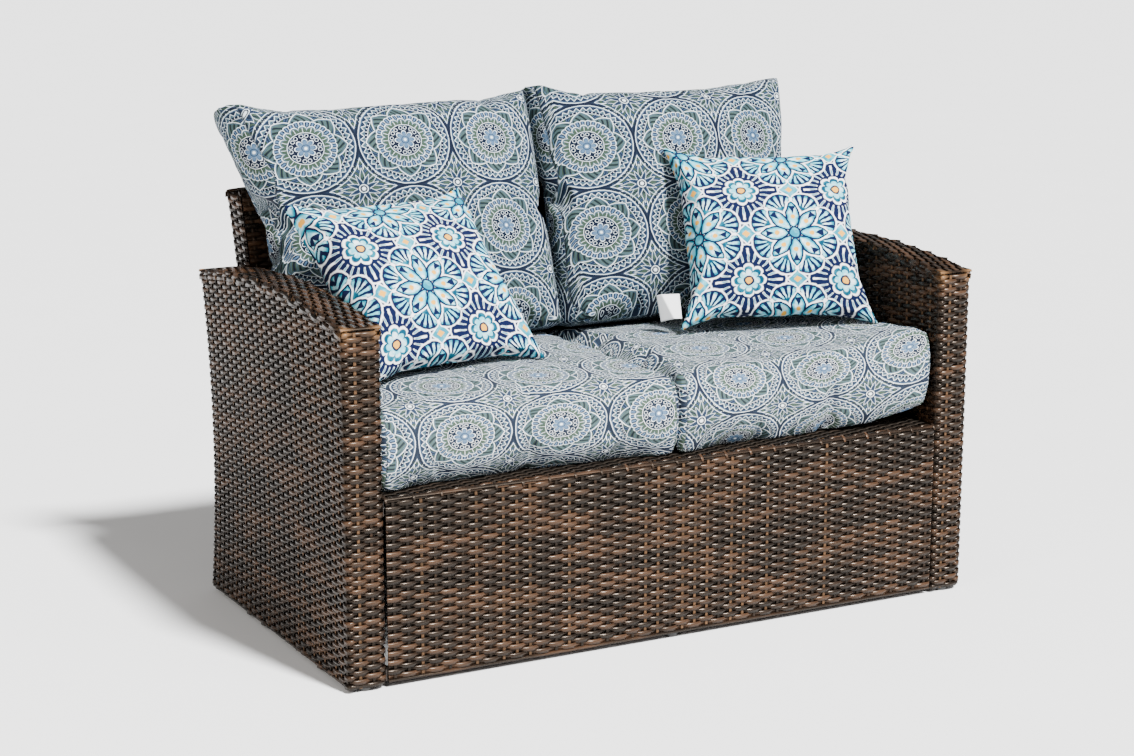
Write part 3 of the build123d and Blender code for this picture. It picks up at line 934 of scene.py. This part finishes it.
def directions(mesh):
    normals = np.empty(len(mesh.vertices) * 3, np.float32)
    mesh.vertex_normals.foreach_get("vector", normals)
    return normals.reshape(-1, 3).astype(float)


def move_to(mesh, co):
    mesh.vertices.foreach_set("co", co.astype(np.float32).ravel())
    mesh.update()


def as_made(piece):
    """Gives a piece the mesh that its modifiers make, in place of them."""
    mesh = made_mesh(piece)
    piece.modifiers.clear()
    piece.data = mesh
    return mesh


def merged(node):
    """A closed copy of a node's mesh."""
    mesh = bmesh.new()
    mesh.from_mesh(cad_nodes[node].data)
    bmesh.ops.remove_doubles(mesh, verts=mesh.verts, dist=1e-5)
    bmesh.ops.recalc_face_normals(mesh, faces=mesh.faces)
    return mesh


def blank(node, name):
    """A closed even mesh of a cushion, a little smaller than the room that it has."""
    shape = merged(node)
    mesh = bpy.data.meshes.new(name)
    shape.to_mesh(mesh)
    shape.free()
    piece = put(name, mesh)
    even = piece.modifiers.new("even", "REMESH")
    even.mode = "VOXEL"
    even.voxel_size = cushion_voxel
    mesh = as_made(piece)
    move_to(mesh, places(mesh) - start_inset * directions(mesh))
    return piece


def stuff(pieces):
    """Blows up the covers together, keeps each point within its limit and makes them plain."""
    starts = [places(piece.data) for piece in pieces]
    for piece in pieces:
        cloth = piece.modifiers.new("cover", "CLOTH")
        cloth.settings.quality = 5
        cloth.settings.mass = 0.3
        cloth.settings.use_pressure = True
        cloth.settings.uniform_pressure_force = stuffing
        cloth.settings.shrink_min = -cover_slack
        cloth.settings.effector_weights.gravity = 0.0
        cloth.point_cache.frame_start = 1
        cloth.point_cache.frame_end = blow_frames
    for step in range(1, blow_frames + 1):
        bpy.context.scene.frame_set(step)
    for piece, start in zip(pieces, starts):
        mesh = as_made(piece)
        moved = places(mesh) - start
        far = np.linalg.norm(moved, axis=1, keepdims=True)
        move_to(mesh, start + moved * np.minimum(1.0, blow_limit / np.maximum(far, 1e-9)))
    bpy.context.scene.frame_set(1)


def finer(piece):
    smooth = piece.modifiers.new("smooth", "SUBSURF")
    smooth.levels = smooth.render_levels = 1
    return as_made(piece)


def fitted(mesh, node, neighbours):
    """Keeps a cover in its own room: only its free sides may swell a little."""
    room = merged(node)
    own = BVHTree.FromBMesh(room)
    room.free()
    around = bmesh.new()
    for neighbour in neighbours:
        around.from_mesh(cad_nodes[neighbour].data)
    others = BVHTree.FromBMesh(around)
    around.free()
    co = places(mesh)
    for number, place in enumerate(co):
        near, out, face, far = own.find_nearest(Vector(place))
        if (Vector(place) - near).dot(out) > 0.0:
            gap = others.find_nearest(near)[3]
            swell = max(min(gap_share * gap, free_growth), 1e-6)
            co[number] = near + out * (swell * np.tanh(far / swell))
    move_to(mesh, co)


def top_sag(piece, side):
    """Lowers a back cushion's top edge between its corners and plumps the corners."""
    co = places(piece.data) @ lean_axes.T
    across, up, facing = co.T
    share = np.clip((across - across.min()) / (across.max() - across.min()), 0, 1)
    if side == "right":
        share = 1 - share
    weight = np.clip((up - (up.max() - sag_depth)) / sag_depth, 0, 1) ** sag_power
    up = up - np.interp(share, sag_places, top_dip[side]) * weight
    move_to(piece.data, np.c_[across, up, facing] @ lean_axes)


seat_pads = [blank(f"{side}_seat_cushion", f"{side}_seat_pad") for side in ("left", "right")]
back_pads = [blank(f"{side}_back_cushion", f"{side}_back_pad") for side in ("left", "right")]


def pillow_axes(lean, yaw):
    """Across, up and facing directions of a throw pillow."""
    lean, yaw = radians(lean), radians(yaw)
    across = np.array((np.cos(yaw), np.sin(yaw), 0.0))
    facing = np.array((np.sin(yaw) * np.cos(lean), -np.cos(yaw) * np.cos(lean), np.sin(lean)))
    return np.array((across, np.cross(facing, across), facing))


pillow_turns = {"left": pillow_axes(42.0, 12.0), "right": pillow_axes(33.0, -20.0)}
pillow_size = 0.368
pillow_plump = 0.124
pillow_draw = 0.013
pillow_cells = 80
pillow_ease, pillow_cloth = 0.009, 0.012
pillow_start = 0.32
tile_shift = {"left": (0.030, 0.044), "right": (-0.038, 0.022)}


def grid_faces(cells):
    """The faces of a square grid of points, with as many cells along each side."""
    first = (np.arange(cells)[:, None] * (cells + 1) + np.arange(cells)).ravel()
    return np.c_[first, first + 1, first + cells + 2, first + cells + 1]


def pillow_blank(side):
    """Two square sheets sewn along their edges, thin and a little smaller than the pillow."""
    axes = pillow_turns[side]
    room = places(cad_nodes[f"{side}_throw_pillow"].data) @ axes.T
    centre = (room.min(0) + room.max(0)) / 2
    steps = np.linspace(-1.0, 1.0, pillow_cells + 1)
    u, v = (grid.ravel() for grid in np.meshgrid(steps, steps))
    half = pillow_size / 2 + pillow_ease
    x = u * (half - pillow_draw * (1 - v**4))
    y = v * (half - pillow_draw * (1 - u**4))
    rise = pillow_start * pillow_plump * ((1 - u**4) * (1 - v**4)) ** 0.6
    edge = (np.abs(u) > 0.999) | (np.abs(v) > 0.999)
    count = len(u)
    back_number = np.arange(count) + count
    back_number[edge] = np.arange(count)[edge]
    co = np.r_[np.c_[x, y, rise], np.c_[x, y, -rise]]
    front_faces = grid_faces(pillow_cells)
    faces = np.r_[front_faces, back_number[front_faces[:, ::-1]]]
    used, numbers = np.unique(faces, return_inverse=True)
    mesh = bpy.data.meshes.new(f"{side}_pillow_cover")
    mesh.from_pydata(((co[used] + centre) @ axes).tolist(), [], numbers.reshape(-1, 4).tolist())
    flat_u = u * (pillow_size / 2 + pillow_cloth) + tile_shift[side][0]
    flat_v = v * (pillow_size / 2 + pillow_cloth) + tile_shift[side][1]
    one = np.ones(count)
    cloth = np.r_[np.c_[flat_u, flat_v, one], np.c_[flat_u, flat_v, -one]]
    store(mesh, "cloth_place", cloth[used])
    return put(f"{side}_pillow_cover", mesh)


pillows = [pillow_blank(side) for side in ("left", "right")]
stuff(seat_pads + back_pads + pillows)


# Medallion print of the seat and back cushions: touching round medallions in slate, sage,
# pale blue and white, with a leafy star in each gap, screen printed on canvas.

class Figure:
    """A value that changes over the cloth, worked with ordinary signs while a print is drawn."""

    def __init__(self, tree, value):
        self.tree = tree
        self.value = value

    def made(self, operation, *others):
        others = [other.value if isinstance(other, Figure) else other for other in others]
        return Figure(self.tree, worked(self.tree, operation, self.value, *others))

    def __add__(self, other):
        return self.made("ADD", other)

    def __sub__(self, other):
        return self.made("SUBTRACT", other)

    def __mul__(self, other):
        return self.made("MULTIPLY", other)

    def __neg__(self):
        return self.made("MULTIPLY", -1.0)

    def size(self):
        return self.made("ABSOLUTE")

    def power(self, exponent):
        return self.made("POWER", exponent)

    def below(self, limit, soft):
        """One where the value lies under the limit and nought above it, with a soft edge."""
        return Figure(self.tree, clamped(self.tree, (self - limit).value, -1.0 / soft, 0.5))

    def between(self, low, high, soft):
        return self.below(high, soft) * (-self).below(-low, soft)

    def line(self, half_width):
        """One on a line along which the value is nought."""
        return self.size().below(half_width, half_width)


def print_group(name, wobble):
    """A group that draws a print, from a place on the cloth that a hand's wobble shifts."""
    takes = {"Place": "Vector", "Across": "Float", "Up": "Float"}
    group, given = new_group(name, "ShaderNodeTree", takes, {"Colour": "Color"})
    hand = add_node(
        group, "ShaderNodeTexNoise", {"Vector": given["Place"], "Scale": 70.0, "Detail": 2.0}
    )
    spot = add_node(
        group,
        "ShaderNodeVectorMath",
        {0: hand.outputs["Color"], 1: (wobble, wobble, 0.0), 2: given["Place"]},
        operation="MULTIPLY_ADD",
    ).outputs[0]
    spot = split(group, spot)
    return group, given, Figure(group, spot["X"]), Figure(group, spot["Y"])


def repeated(value, pitch):
    """Distance to the middle of the nearest repeat, as a share of the pitch."""
    counted = value.made("DIVIDE", pitch)
    return counted - counted.made("ROUND")


def polar(x, y):
    """Radius, one where neighbours touch, and angle."""
    return (x * x + y * y).made("SQRT") * 2.0, y.made("ARCTAN2", x)


def folded(angle, petals):
    """Nought on the middle line of each petal and one half-way between two petals."""
    return (angle * (petals / pi)).made("PINGPONG", 1.0)


def rounded(fold):
    """Outline of a round-ended petal over its width."""
    return (-(fold * fold) + 1.0).made("MAXIMUM", 0.0).made("SQRT")


def painted(tree, under, mask, colour):
    return mixed(tree, mask.value, under, colour)


def overprinted(tree, ground, layers):
    """Prints pairs of mask and colour over a ground, one after another."""
    for mask, colour in zip(layers[::2], layers[1::2]):
        ground = painted(tree, ground, mask, colour)
    add_node(tree, "NodeGroupOutput", {"Colour": ground})


slate = (0.0105, 0.0190, 0.0380, 1.0)
deep_slate = (0.0045, 0.0080, 0.0190, 1.0)
sage = (0.040, 0.064, 0.043, 1.0)
pale_blue = (0.085, 0.150, 0.240, 1.0)
chalk = (0.880, 0.930, 0.950, 1.0)
medallion_across, medallion_up = 0.183, 0.167

medallion, given, across, up = print_group("medallion print", 0.002)
cell_x, cell_y = repeated(across, given["Across"]), repeated(up, given["Up"])
radius, angle = polar(cell_x, cell_y)
eight, sixteen, thirty_two = (folded(angle, petals) for petals in (8, 16, 32))
forty, sixty_four = folded(angle, 40), folded(angle, 64)
sector = eight * (pi / 8)
along_sector, aside = radius * sector.made("COSINE"), radius * sector.made("SINE")


def from_spot(x, y):
    """Distance from a spot that is repeated in each half petal."""
    dx, dy = along_sector - x, aside - y
    return (dx * dx + dy * dy).made("SQRT")


gap_x, gap_y = -cell_x.size() + 0.5, -cell_y.size() + 0.5
gap_radius, gap_angle = polar(gap_x, gap_y)
gap_eight, gap_sixteen = folded(gap_angle, 8), folded(gap_angle, 16)
star_tip = (-gap_eight + 1.0).power(1.5) * 0.30 + 0.15
leaf_tip = gap_eight.power(1.5) * 0.20 + 0.13
disc = radius.below(0.955, 0.02)
ogee = (-eight + 1.0).power(0.8) * 0.19 + 0.63
scallop = rounded(sixteen) * 0.10 + 0.40
petal = rounded(eight) * 0.13 + 0.08
comb = rounded(thirty_two) * 0.035 + 0.570
rim_scallop = rounded(forty) * 0.025 + 0.918
teeth = forty * 0.075 + 0.840
strokes = (angle * (24 / pi) + radius * 11.0).made("PINGPONG", 1.0)
veins = (angle * (32 / pi) - radius * 14.0).made("PINGPONG", 1.0)
gap_strokes = (gap_angle * (20 / pi) + gap_radius * 11.0).made("PINGPONG", 1.0)
in_scallop = (radius - scallop).below(-0.02, 0.01)
layers = (
    gap_radius.between(0.20, 0.62, 0.02) * gap_strokes.below(0.32, 0.25), sage,
    gap_radius.between(0.30, 0.66, 0.02) * (gap_strokes - 0.70).line(0.050), pale_blue,
    (gap_radius - star_tip).below(0.0, 0.03), sage,
    (gap_radius - star_tip).below(-0.04, 0.03) * gap_strokes.below(0.30, 0.20), deep_slate,
    (gap_radius - star_tip + 0.060).line(0.007), pale_blue,
    (gap_radius - star_tip).line(0.010), chalk,
    (gap_radius - leaf_tip).below(0.0, 0.03), slate,
    (gap_radius - leaf_tip).line(0.009), chalk,
    (gap_radius - leaf_tip + 0.055).line(0.007), pale_blue,
    gap_radius.between(0.42, 0.54, 0.02) * (gap_sixteen - 0.5).line(0.083), chalk,
    gap_radius.below(0.09, 0.02), deep_slate,
    (gap_radius - 0.085).line(0.008), chalk,
    gap_radius.below(0.04, 0.02), chalk,
    (radius - 1.055).line(0.005), chalk,
    (radius - 1.005).line(0.017), deep_slate,
    disc, slate,
    radius.between(0.835, 0.955, 0.02) * (radius - teeth).below(0.0, 0.02), sage,
    (radius - teeth + 0.034).line(0.007) * radius.between(0.84, 0.955, 0.01), pale_blue,
    (radius - teeth).line(0.008) * disc, chalk,
    (radius - rim_scallop).line(0.005), pale_blue,
    (radius - 0.962).line(0.007), chalk,
    radius.between(0.780, 0.832, 0.01), deep_slate,
    radius.between(0.790, 0.822, 0.01) * sixty_four.below(0.16, 0.2), chalk,
    (radius - 0.838).line(0.004), pale_blue,
    radius.between(0.62, 0.772, 0.02) * strokes.below(0.30, 0.25), sage,
    radius.between(0.64, 0.772, 0.02) * (strokes - 0.62).line(0.041), pale_blue,
    (radius - 0.774).line(0.004), chalk,
    (radius - ogee).below(0.0, 0.02), sage,
    (radius - ogee).below(-0.030, 0.02) * veins.below(0.30, 0.20), deep_slate,
    (radius - ogee).below(-0.030, 0.02) * (veins - 0.78).line(0.050), pale_blue,
    (radius - ogee + 0.034).line(0.004), pale_blue,
    (radius - ogee).line(0.009), chalk,
    radius.between(0.48, comb, 0.01), slate,
    radius.between(0.48, comb, 0.01) * thirty_two.below(0.30, 0.2), pale_blue,
    radius.between(0.50, comb, 0.01) * (thirty_two - 0.90).line(0.041), chalk,
    (radius - comb).line(0.007), chalk,
    (radius - 0.485).line(0.005), deep_slate,
    (radius - scallop).below(0.0, 0.02), sage,
    radius.between(0.36, 0.47, 0.02) * in_scallop * sixteen.below(0.05, 0.08), chalk,
    (radius - scallop + 0.030).line(0.005), pale_blue,
    (radius - scallop).line(0.008), chalk,
    radius.below(0.345, 0.02), deep_slate,
    (radius - 0.348).line(0.005), chalk,
    (from_spot(0.275, 0.048) - 0.036).line(0.004), chalk,
    from_spot(0.320, 0.0).below(0.010, 0.010), pale_blue,
    (radius - petal).below(0.0, 0.02), pale_blue,
    (radius - petal + 0.035).line(0.005), slate,
    (radius - petal).line(0.008), chalk,
    (radius - 0.075).line(0.007), slate,
    radius.below(0.03, 0.02), chalk,
)
overprinted(medallion, slate, layers)


# Tile print of the throw pillows: rosettes of eight pointed petals in aqua, navy and white
# with a touch of gold, framed by ribbed fans, as on painted tiles.
navy = (0.002, 0.006, 0.034, 1.0)
teal = (0.000, 0.045, 0.085, 1.0)
aqua = (0.004, 0.215, 0.300, 1.0)
ice = (0.150, 0.560, 0.660, 1.0)
gold = (0.780, 0.360, 0.040, 1.0)
snow = (0.960, 0.965, 0.970, 1.0)
tile_pitch = 0.196

tile, given, across, up = print_group("tile print", 0.006)
cell_x, cell_y = repeated(across, given["Across"]), repeated(up, given["Up"])
radius, angle = polar(cell_x, cell_y)
eight = folded(angle, 8)
sector = eight * (pi / 8)
along_sector, aside = radius * sector.made("COSINE"), radius * sector.made("SINE")
petal_run = (along_sector - 0.09) * (pi / 0.62)
petal_half = petal_run.made("MAXIMUM", 0.0).made("MINIMUM", pi).made("SINE").power(0.75) * 0.158
petal_edge = aside - petal_half
on_petal = petal_edge.below(0.0, 0.012) * along_sector.between(0.09, 0.71, 0.01)
fan_fold = -eight + 1.0
fan_sector = fan_fold * (pi / 8)
fan_along, fan_aside = radius * fan_sector.made("COSINE"), radius * fan_sector.made("SINE")
fan_edge = radius - (rounded(fan_fold) * 0.19 + 0.73)
rib_turn = fan_aside.made("ARCTAN2", fan_along - 0.46)
ribs = (rib_turn * (18 / pi)).made("PINGPONG", 1.0).below(0.45, 0.2)
from_bead = ((along_sector - 0.36) * (along_sector - 0.36) + aside * aside).made("SQRT")
dart = (aside - (along_sector - 0.42) * 0.42).below(0.0, 0.01)
dart = dart * along_sector.between(0.42, 0.60, 0.01)
gap_x, gap_y = -cell_x.size() + 0.5, -cell_y.size() + 0.5
gap_radius, gap_angle = polar(gap_x, gap_y)
gap_four, gap_eight, gap_ribs = (folded(gap_angle, petals) for petals in (4, 8, 24))
gap_edge = gap_radius - ((-gap_four + 1.0).power(0.7) * 0.12 + 0.64)
diamond = (gap_x + cell_y.size()).made("MINIMUM", gap_y + cell_x.size())
in_gap = gap_edge.below(-0.07, 0.02)
wash = Figure(tile, noise(tile, given["Place"], 55.0, 3.0)).below(0.58, -0.25)
washed_aqua = painted(tile, aqua, wash, ice)
washed_ice = painted(tile, ice, wash, snow)
washed_teal = painted(tile, teal, wash, aqua)
tile_layers = (
    diamond.below(0.150, 0.01), navy,
    diamond.below(0.118, 0.01), snow,
    diamond.below(0.100, 0.01), washed_aqua,
    diamond.below(0.040, 0.01), gold,
    gap_edge.below(0.03, 0.02), snow,
    gap_edge.below(0.0, 0.02), navy,
    gap_radius.between(0.40, 0.70, 0.02) * gap_ribs.below(0.28, 0.16) * in_gap, snow,
    gap_radius.between(0.42, 0.56, 0.04) * gap_ribs.below(0.20, 0.15) * in_gap, washed_aqua,
    (gap_radius - (rounded(gap_eight) * 0.10 + 0.26)).below(0.0, 0.02), snow,
    (gap_radius - (rounded(gap_eight) * 0.10 + 0.21)).below(0.0, 0.02), washed_teal,
    (gap_radius - (rounded(gap_eight) * 0.10 + 0.13)).below(0.0, 0.02), washed_ice,
    gap_radius.below(0.11, 0.015), navy,
    gap_radius.below(0.07, 0.015), gold,
    fan_edge.below(0.035, 0.02), snow,
    fan_edge.below(0.0, 0.02), navy,
    fan_edge.below(-0.040, 0.02) * ribs, washed_aqua,
    fan_edge.below(-0.080, 0.03) * ribs, washed_ice,
    radius.between(0.50, 0.62, 0.03), washed_teal,
    (petal_edge - 0.035).below(0.0, 0.02) * along_sector.between(0.06, 0.79, 0.01), snow,
    on_petal, navy,
    (petal_edge + 0.040).below(0.0, 0.012) * on_petal, washed_aqua,
    (petal_edge + 0.070).below(0.0, 0.03) * on_petal, washed_ice,
    (petal_edge + 0.040).below(0.0, 0.012) * dart * on_petal, navy,
    from_bead.below(0.050, 0.014), gold,
    radius.below(0.14, 0.015), navy,
    radius.below(0.095, 0.015), washed_aqua,
)
overprinted(tile, snow, tile_layers)


# Canvas of both covers: a plain weave of fine threads, shaded a little unevenly by the print
# and by the sun, with painted shade in the hollows between its threads, a soft sheen and a
# stitched seam. The back covers carry painted shade and the seat covers painted light.
thread = 0.0011
threads, given = new_group(
    "canvas weave",
    "ShaderNodeTree",
    {"Place": "Vector", "Thread": "Float"},
    {"Height": "Float", "Fade": "Float"},
)
spot = split(threads, given["Place"])
warp, weft = (Figure(threads, spot[axis]).made("DIVIDE", given["Thread"]) * pi for axis in "XY")
crossing = (warp.made("SINE") * weft.made("SINE")) * 0.5 + 0.5
slub = Figure(threads, noise(threads, given["Place"], 420.0, 2.0))
height = crossing * 0.7 + slub * 0.5
fading = noise(threads, given["Place"], 9.0, 5.0)
add_node(threads, "NodeGroupOutput", {"Height": height.value, "Fade": fading})


def threaded(tree, place, thread):
    """Height and fading of a cloth's threads."""
    inputs = {"Place": place, "Thread": thread}
    cloth = add_node(tree, "ShaderNodeGroup", inputs, node_tree=threads).outputs
    return Figure(tree, cloth["Height"]), Figure(tree, cloth["Fade"])


def cover_cloth(name, drawing, pitch_across, pitch_up, fade_and_shade_tint, painted_light_share, ends):
    """A canvas cover with its print; ends says that its end panels take the print upright."""
    cloth, tree, shader = new_finish(
        name, 0.88, Sheen_Weight=0.02, Sheen_Roughness=0.5, Specular_IOR_Level=0.10
    )
    place = stored(tree, "cloth_place")["Vector"]
    seam = Figure(tree, split(tree, place)["Z"])
    if ends:
        spot = split(tree, add_node(tree, "ShaderNodeTexCoord").outputs["Object"])
        upright = vector(tree, spot["Y"], spot["Z"])
        on_end = seam.below(0.0, 0.0002).value
        place = mixed(tree, on_end, place, upright, data_type="VECTOR")
    inputs = {"Place": place, "Across": pitch_across, "Up": pitch_up}
    drawn = add_node(tree, "ShaderNodeGroup", inputs, node_tree=drawing).outputs["Colour"]
    height, fade = threaded(tree, place, thread)
    # The fade noise tints the print unevenly; on the back covers the tint is dark, painted shade
    # for backs in less light, and on the seat covers a pale share is mixed in, painted light.
    shade = mixed(tree, fade.value, drawn, fade_and_shade_tint, blend_type="MULTIPLY")
    shade = painted(tree, shade, fade * painted_light_share, (0.50, 0.58, 0.62, 1.0))
    # Painted shade in the hollows between the threads.
    shade = painted(tree, shade, height.below(0.42, 0.5) * 0.14, (0.008, 0.010, 0.016, 1.0))
    stitch = seam.line(0.0012)
    shade = painted(tree, shade, stitch * 0.45, (0.015, 0.02, 0.03, 1.0))
    relief = height * 0.00022 - stitch * 0.0012
    finished(tree, shader, shade, relief.value, 0.8)
    return cloth


def medallion_canvas(name, fade_and_shade_tint, painted_light_share):
    pitches = (medallion_across, medallion_up)
    return cover_cloth(f"{name} medallion canvas", medallion, *pitches, fade_and_shade_tint, painted_light_share, True)


tile_look = (tile_pitch, tile_pitch, (0.96, 0.98, 1.00, 1.0), 0.0, False)
finishes = {
    # The seat covers get a pale share as painted light and the back covers a dark tint as painted
    # shade.
    "seat_cushion": medallion_canvas("seat", (0.98, 0.99, 1.00, 1.0), 0.03),
    "back_cushion": medallion_canvas("back", (0.46, 0.55, 0.62, 1.0), 0.0),
    "throw_pillow": cover_cloth("tile canvas", tile, *tile_look),
}
print_shift = {
    "left_seat_pad": (-0.215, 0.084),
    "right_seat_pad": (0.145, 0.145),
    "left_back_pad": (-0.111, 0.840),
    "right_back_pad": (0.092, 0.815),
}
seam_inset = 0.010
run_bins, width_bins = 40, 24
front_depth = 0.070
roll_over = 0.055
roll_start, roll_length = 0.35, 0.3


def extremes(place, value, bins, used=True):
    """Lowest and highest value along a place, read between the middles of even bins."""
    marks = np.linspace(place.min(), place.max(), bins + 1)
    number = np.clip(np.digitize(place, marks) - 1, 0, bins - 1)
    middle = (marks[1:] + marks[:-1]) / 2
    inside = [value[used & (number == k)] for k in range(bins)]
    low = [values.min() if values.size else value.min() for values in inside]
    high = [values.max() if values.size else value.max() for values in inside]
    return np.interp(place, middle, low), np.interp(place, middle, high)


def lay_print(piece, axes):
    """A cushion's places across, up and facing, and how far each is from the end seams."""
    across, up, facing = axes @ places(piece.data).T
    low, high = extremes(up - facing, across, run_bins)
    return across, up, facing, np.minimum(high - across, across - low) - seam_inset


def behind_top(deep):
    """Nought on the front half of a cushion's top and one on its rear."""
    return np.clip((deep / deep.max() - roll_start) / roll_length, 0.0, 1.0)


def lay_seat_print(piece):
    """Unrolls a seat cushion's cover: under it, up its front, over its top and down its rear."""
    across, rear, up, seam = lay_print(piece, np.eye(3))
    deep, high = rear - rear.min(), up - up.min()
    foot, top = extremes(across, high, width_bins, deep < front_depth)
    turn = np.clip((high - (foot + top) / 2) / (0.35 * (top - foot)), -1.0, 1.0)
    rolled = 2 * behind_top(deep) * (turn > -0.9) * (high.max() - high)
    return across, high - foot + turn * deep + rolled, seam


def lay_back_print(piece):
    """Unrolls a back cushion's cover: up its front, over its top and down its rear."""
    across, up, facing, seam = lay_print(piece, lean_axes)
    deep = np.maximum(facing.max() - roll_over - facing, 0.0)
    return across, up + deep + 2 * behind_top(deep) * (up.max() - up), seam


rest_nodes = [name for name in cad_nodes if name.endswith(("_weave", "_cushion", "_pillow"))]
soft_goods = (
    (seat_pads, "seat_cushion", "seat_pad", "cushion_fabric"),
    (back_pads, "back_cushion", "back_pad", "cushion_fabric"),
    (pillows, "throw_pillow", "pillow", "pillow_fabric"),
)
print_lays = {"seat_cushion": lay_seat_print, "back_cushion": lay_back_print}
for made, kind, body, slot_name in soft_goods:
    for piece, side in zip(made, ("left", "right")):
        node = f"{side}_{kind}"
        finer(piece)
        if kind == "back_cushion":
            top_sag(piece, side)
        fitted(piece.data, node, [name for name in rest_nodes if name != node])
        if kind in print_lays:
            across, up, seam = print_lays[kind](piece)
            shift_across, shift_up = print_shift[piece.name]
            cloth_places = np.c_[across - shift_across, up - shift_up, seam]
            store(piece.data, "cloth_place", cloth_places)
        piece.data.materials.clear()
        piece.data.materials.append(finishes[kind])
        smoothed(piece.data)
        piece.data.update()
        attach(piece, f"{side}_{body}")
        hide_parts(node)


# Tag: a blank care tag of white ribbon, caught by one edge in the right pillow's left seam
# just above its corner. Its free side is folded away behind.
tag_fold = radians(52.0)
tag_fold_radius = 0.0015
fold_low, fold_high = 0.30, 0.72
tag_steps = 28
tag_thread, tag_thickness = 0.0005, 0.0006

tag_axes = pillow_turns["right"]
tag_room = places(cad_nodes["pillow_tag"].data) @ tag_axes.T
tag_low, tag_high = tag_room.min(0), tag_room.max(0)
tag_width, tag_reach = tag_high[1] - tag_low[1], tag_high[0] - tag_low[0]
steps = np.linspace(0.0, 1.0, tag_steps + 1)
out_share, up_share = (grid.ravel() for grid in np.meshgrid(steps, steps))
x, y = -out_share * tag_reach, up_share * tag_width
fold_start = np.array((-fold_low * tag_reach, 0.0))
fold_end = np.array((-fold_high * tag_reach, tag_width))
fold_way = (fold_end - fold_start) / np.linalg.norm(fold_end - fold_start)
fold_out = np.array((-fold_way[1], fold_way[0]))
along_fold = (np.c_[x, y] - fold_start) @ fold_way
past_fold = (np.c_[x, y] - fold_start) @ fold_out
round_fold = np.clip(past_fold / tag_fold_radius, 0.0, tag_fold)
straight = np.maximum(past_fold - tag_fold_radius * tag_fold, 0.0)
reached = tag_fold_radius * np.sin(round_fold) + straight * np.cos(tag_fold)
reached = reached + np.minimum(past_fold, 0.0)
behind = tag_fold_radius * (1.0 - np.cos(round_fold)) + straight * np.sin(tag_fold)
flat_place = fold_start + along_fold[:, None] * fold_way + reached[:, None] * fold_out
tag_co = np.c_[flat_place + (tag_high[0], tag_low[1]), tag_high[2] - behind]
tag_faces = grid_faces(tag_steps)[:, (0, 3, 2, 1)]
tag_mesh = bpy.data.meshes.new("pillow_care_tag")
tag_mesh.from_pydata((tag_co @ tag_axes).tolist(), [], tag_faces.tolist())
to_edge = np.min((-x, x + tag_reach, y, tag_width - y), axis=0)
store(tag_mesh, "cloth_place", np.c_[x, y, to_edge])
smoothed(tag_mesh)
care_tag = put("pillow_care_tag", tag_mesh)
ribbon, ribbon_tree, ribbon_shader = new_finish(
    "white ribbon", 0.55, Sheen_Weight=0.15, Sheen_Roughness=0.4
)
ribbon_place = stored(ribbon_tree, "cloth_place")["Vector"]
ribbon_edge = Figure(ribbon_tree, split(ribbon_tree, ribbon_place)["Z"])
ribbon_height, ribbon_fade = threaded(ribbon_tree, ribbon_place, tag_thread)
hem = (ribbon_edge - 0.0022).line(0.0003) * 0.35
white = painted(ribbon_tree, (0.80, 0.80, 0.80, 1.0), ribbon_fade * 0.5, (0.62, 0.63, 0.66, 1.0))
white = painted(ribbon_tree, white, hem, (0.30, 0.31, 0.34, 1.0))
finished(ribbon_tree, ribbon_shader, white, (ribbon_height * 0.0001).value, 0.6)
tag_mesh.materials.append(ribbon)
thick = care_tag.modifiers.new("cloth thickness", "SOLIDIFY")
thick.thickness = tag_thickness
thick.offset = 0.0
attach(care_tag, "right_pillow")
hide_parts("pillow_tag")
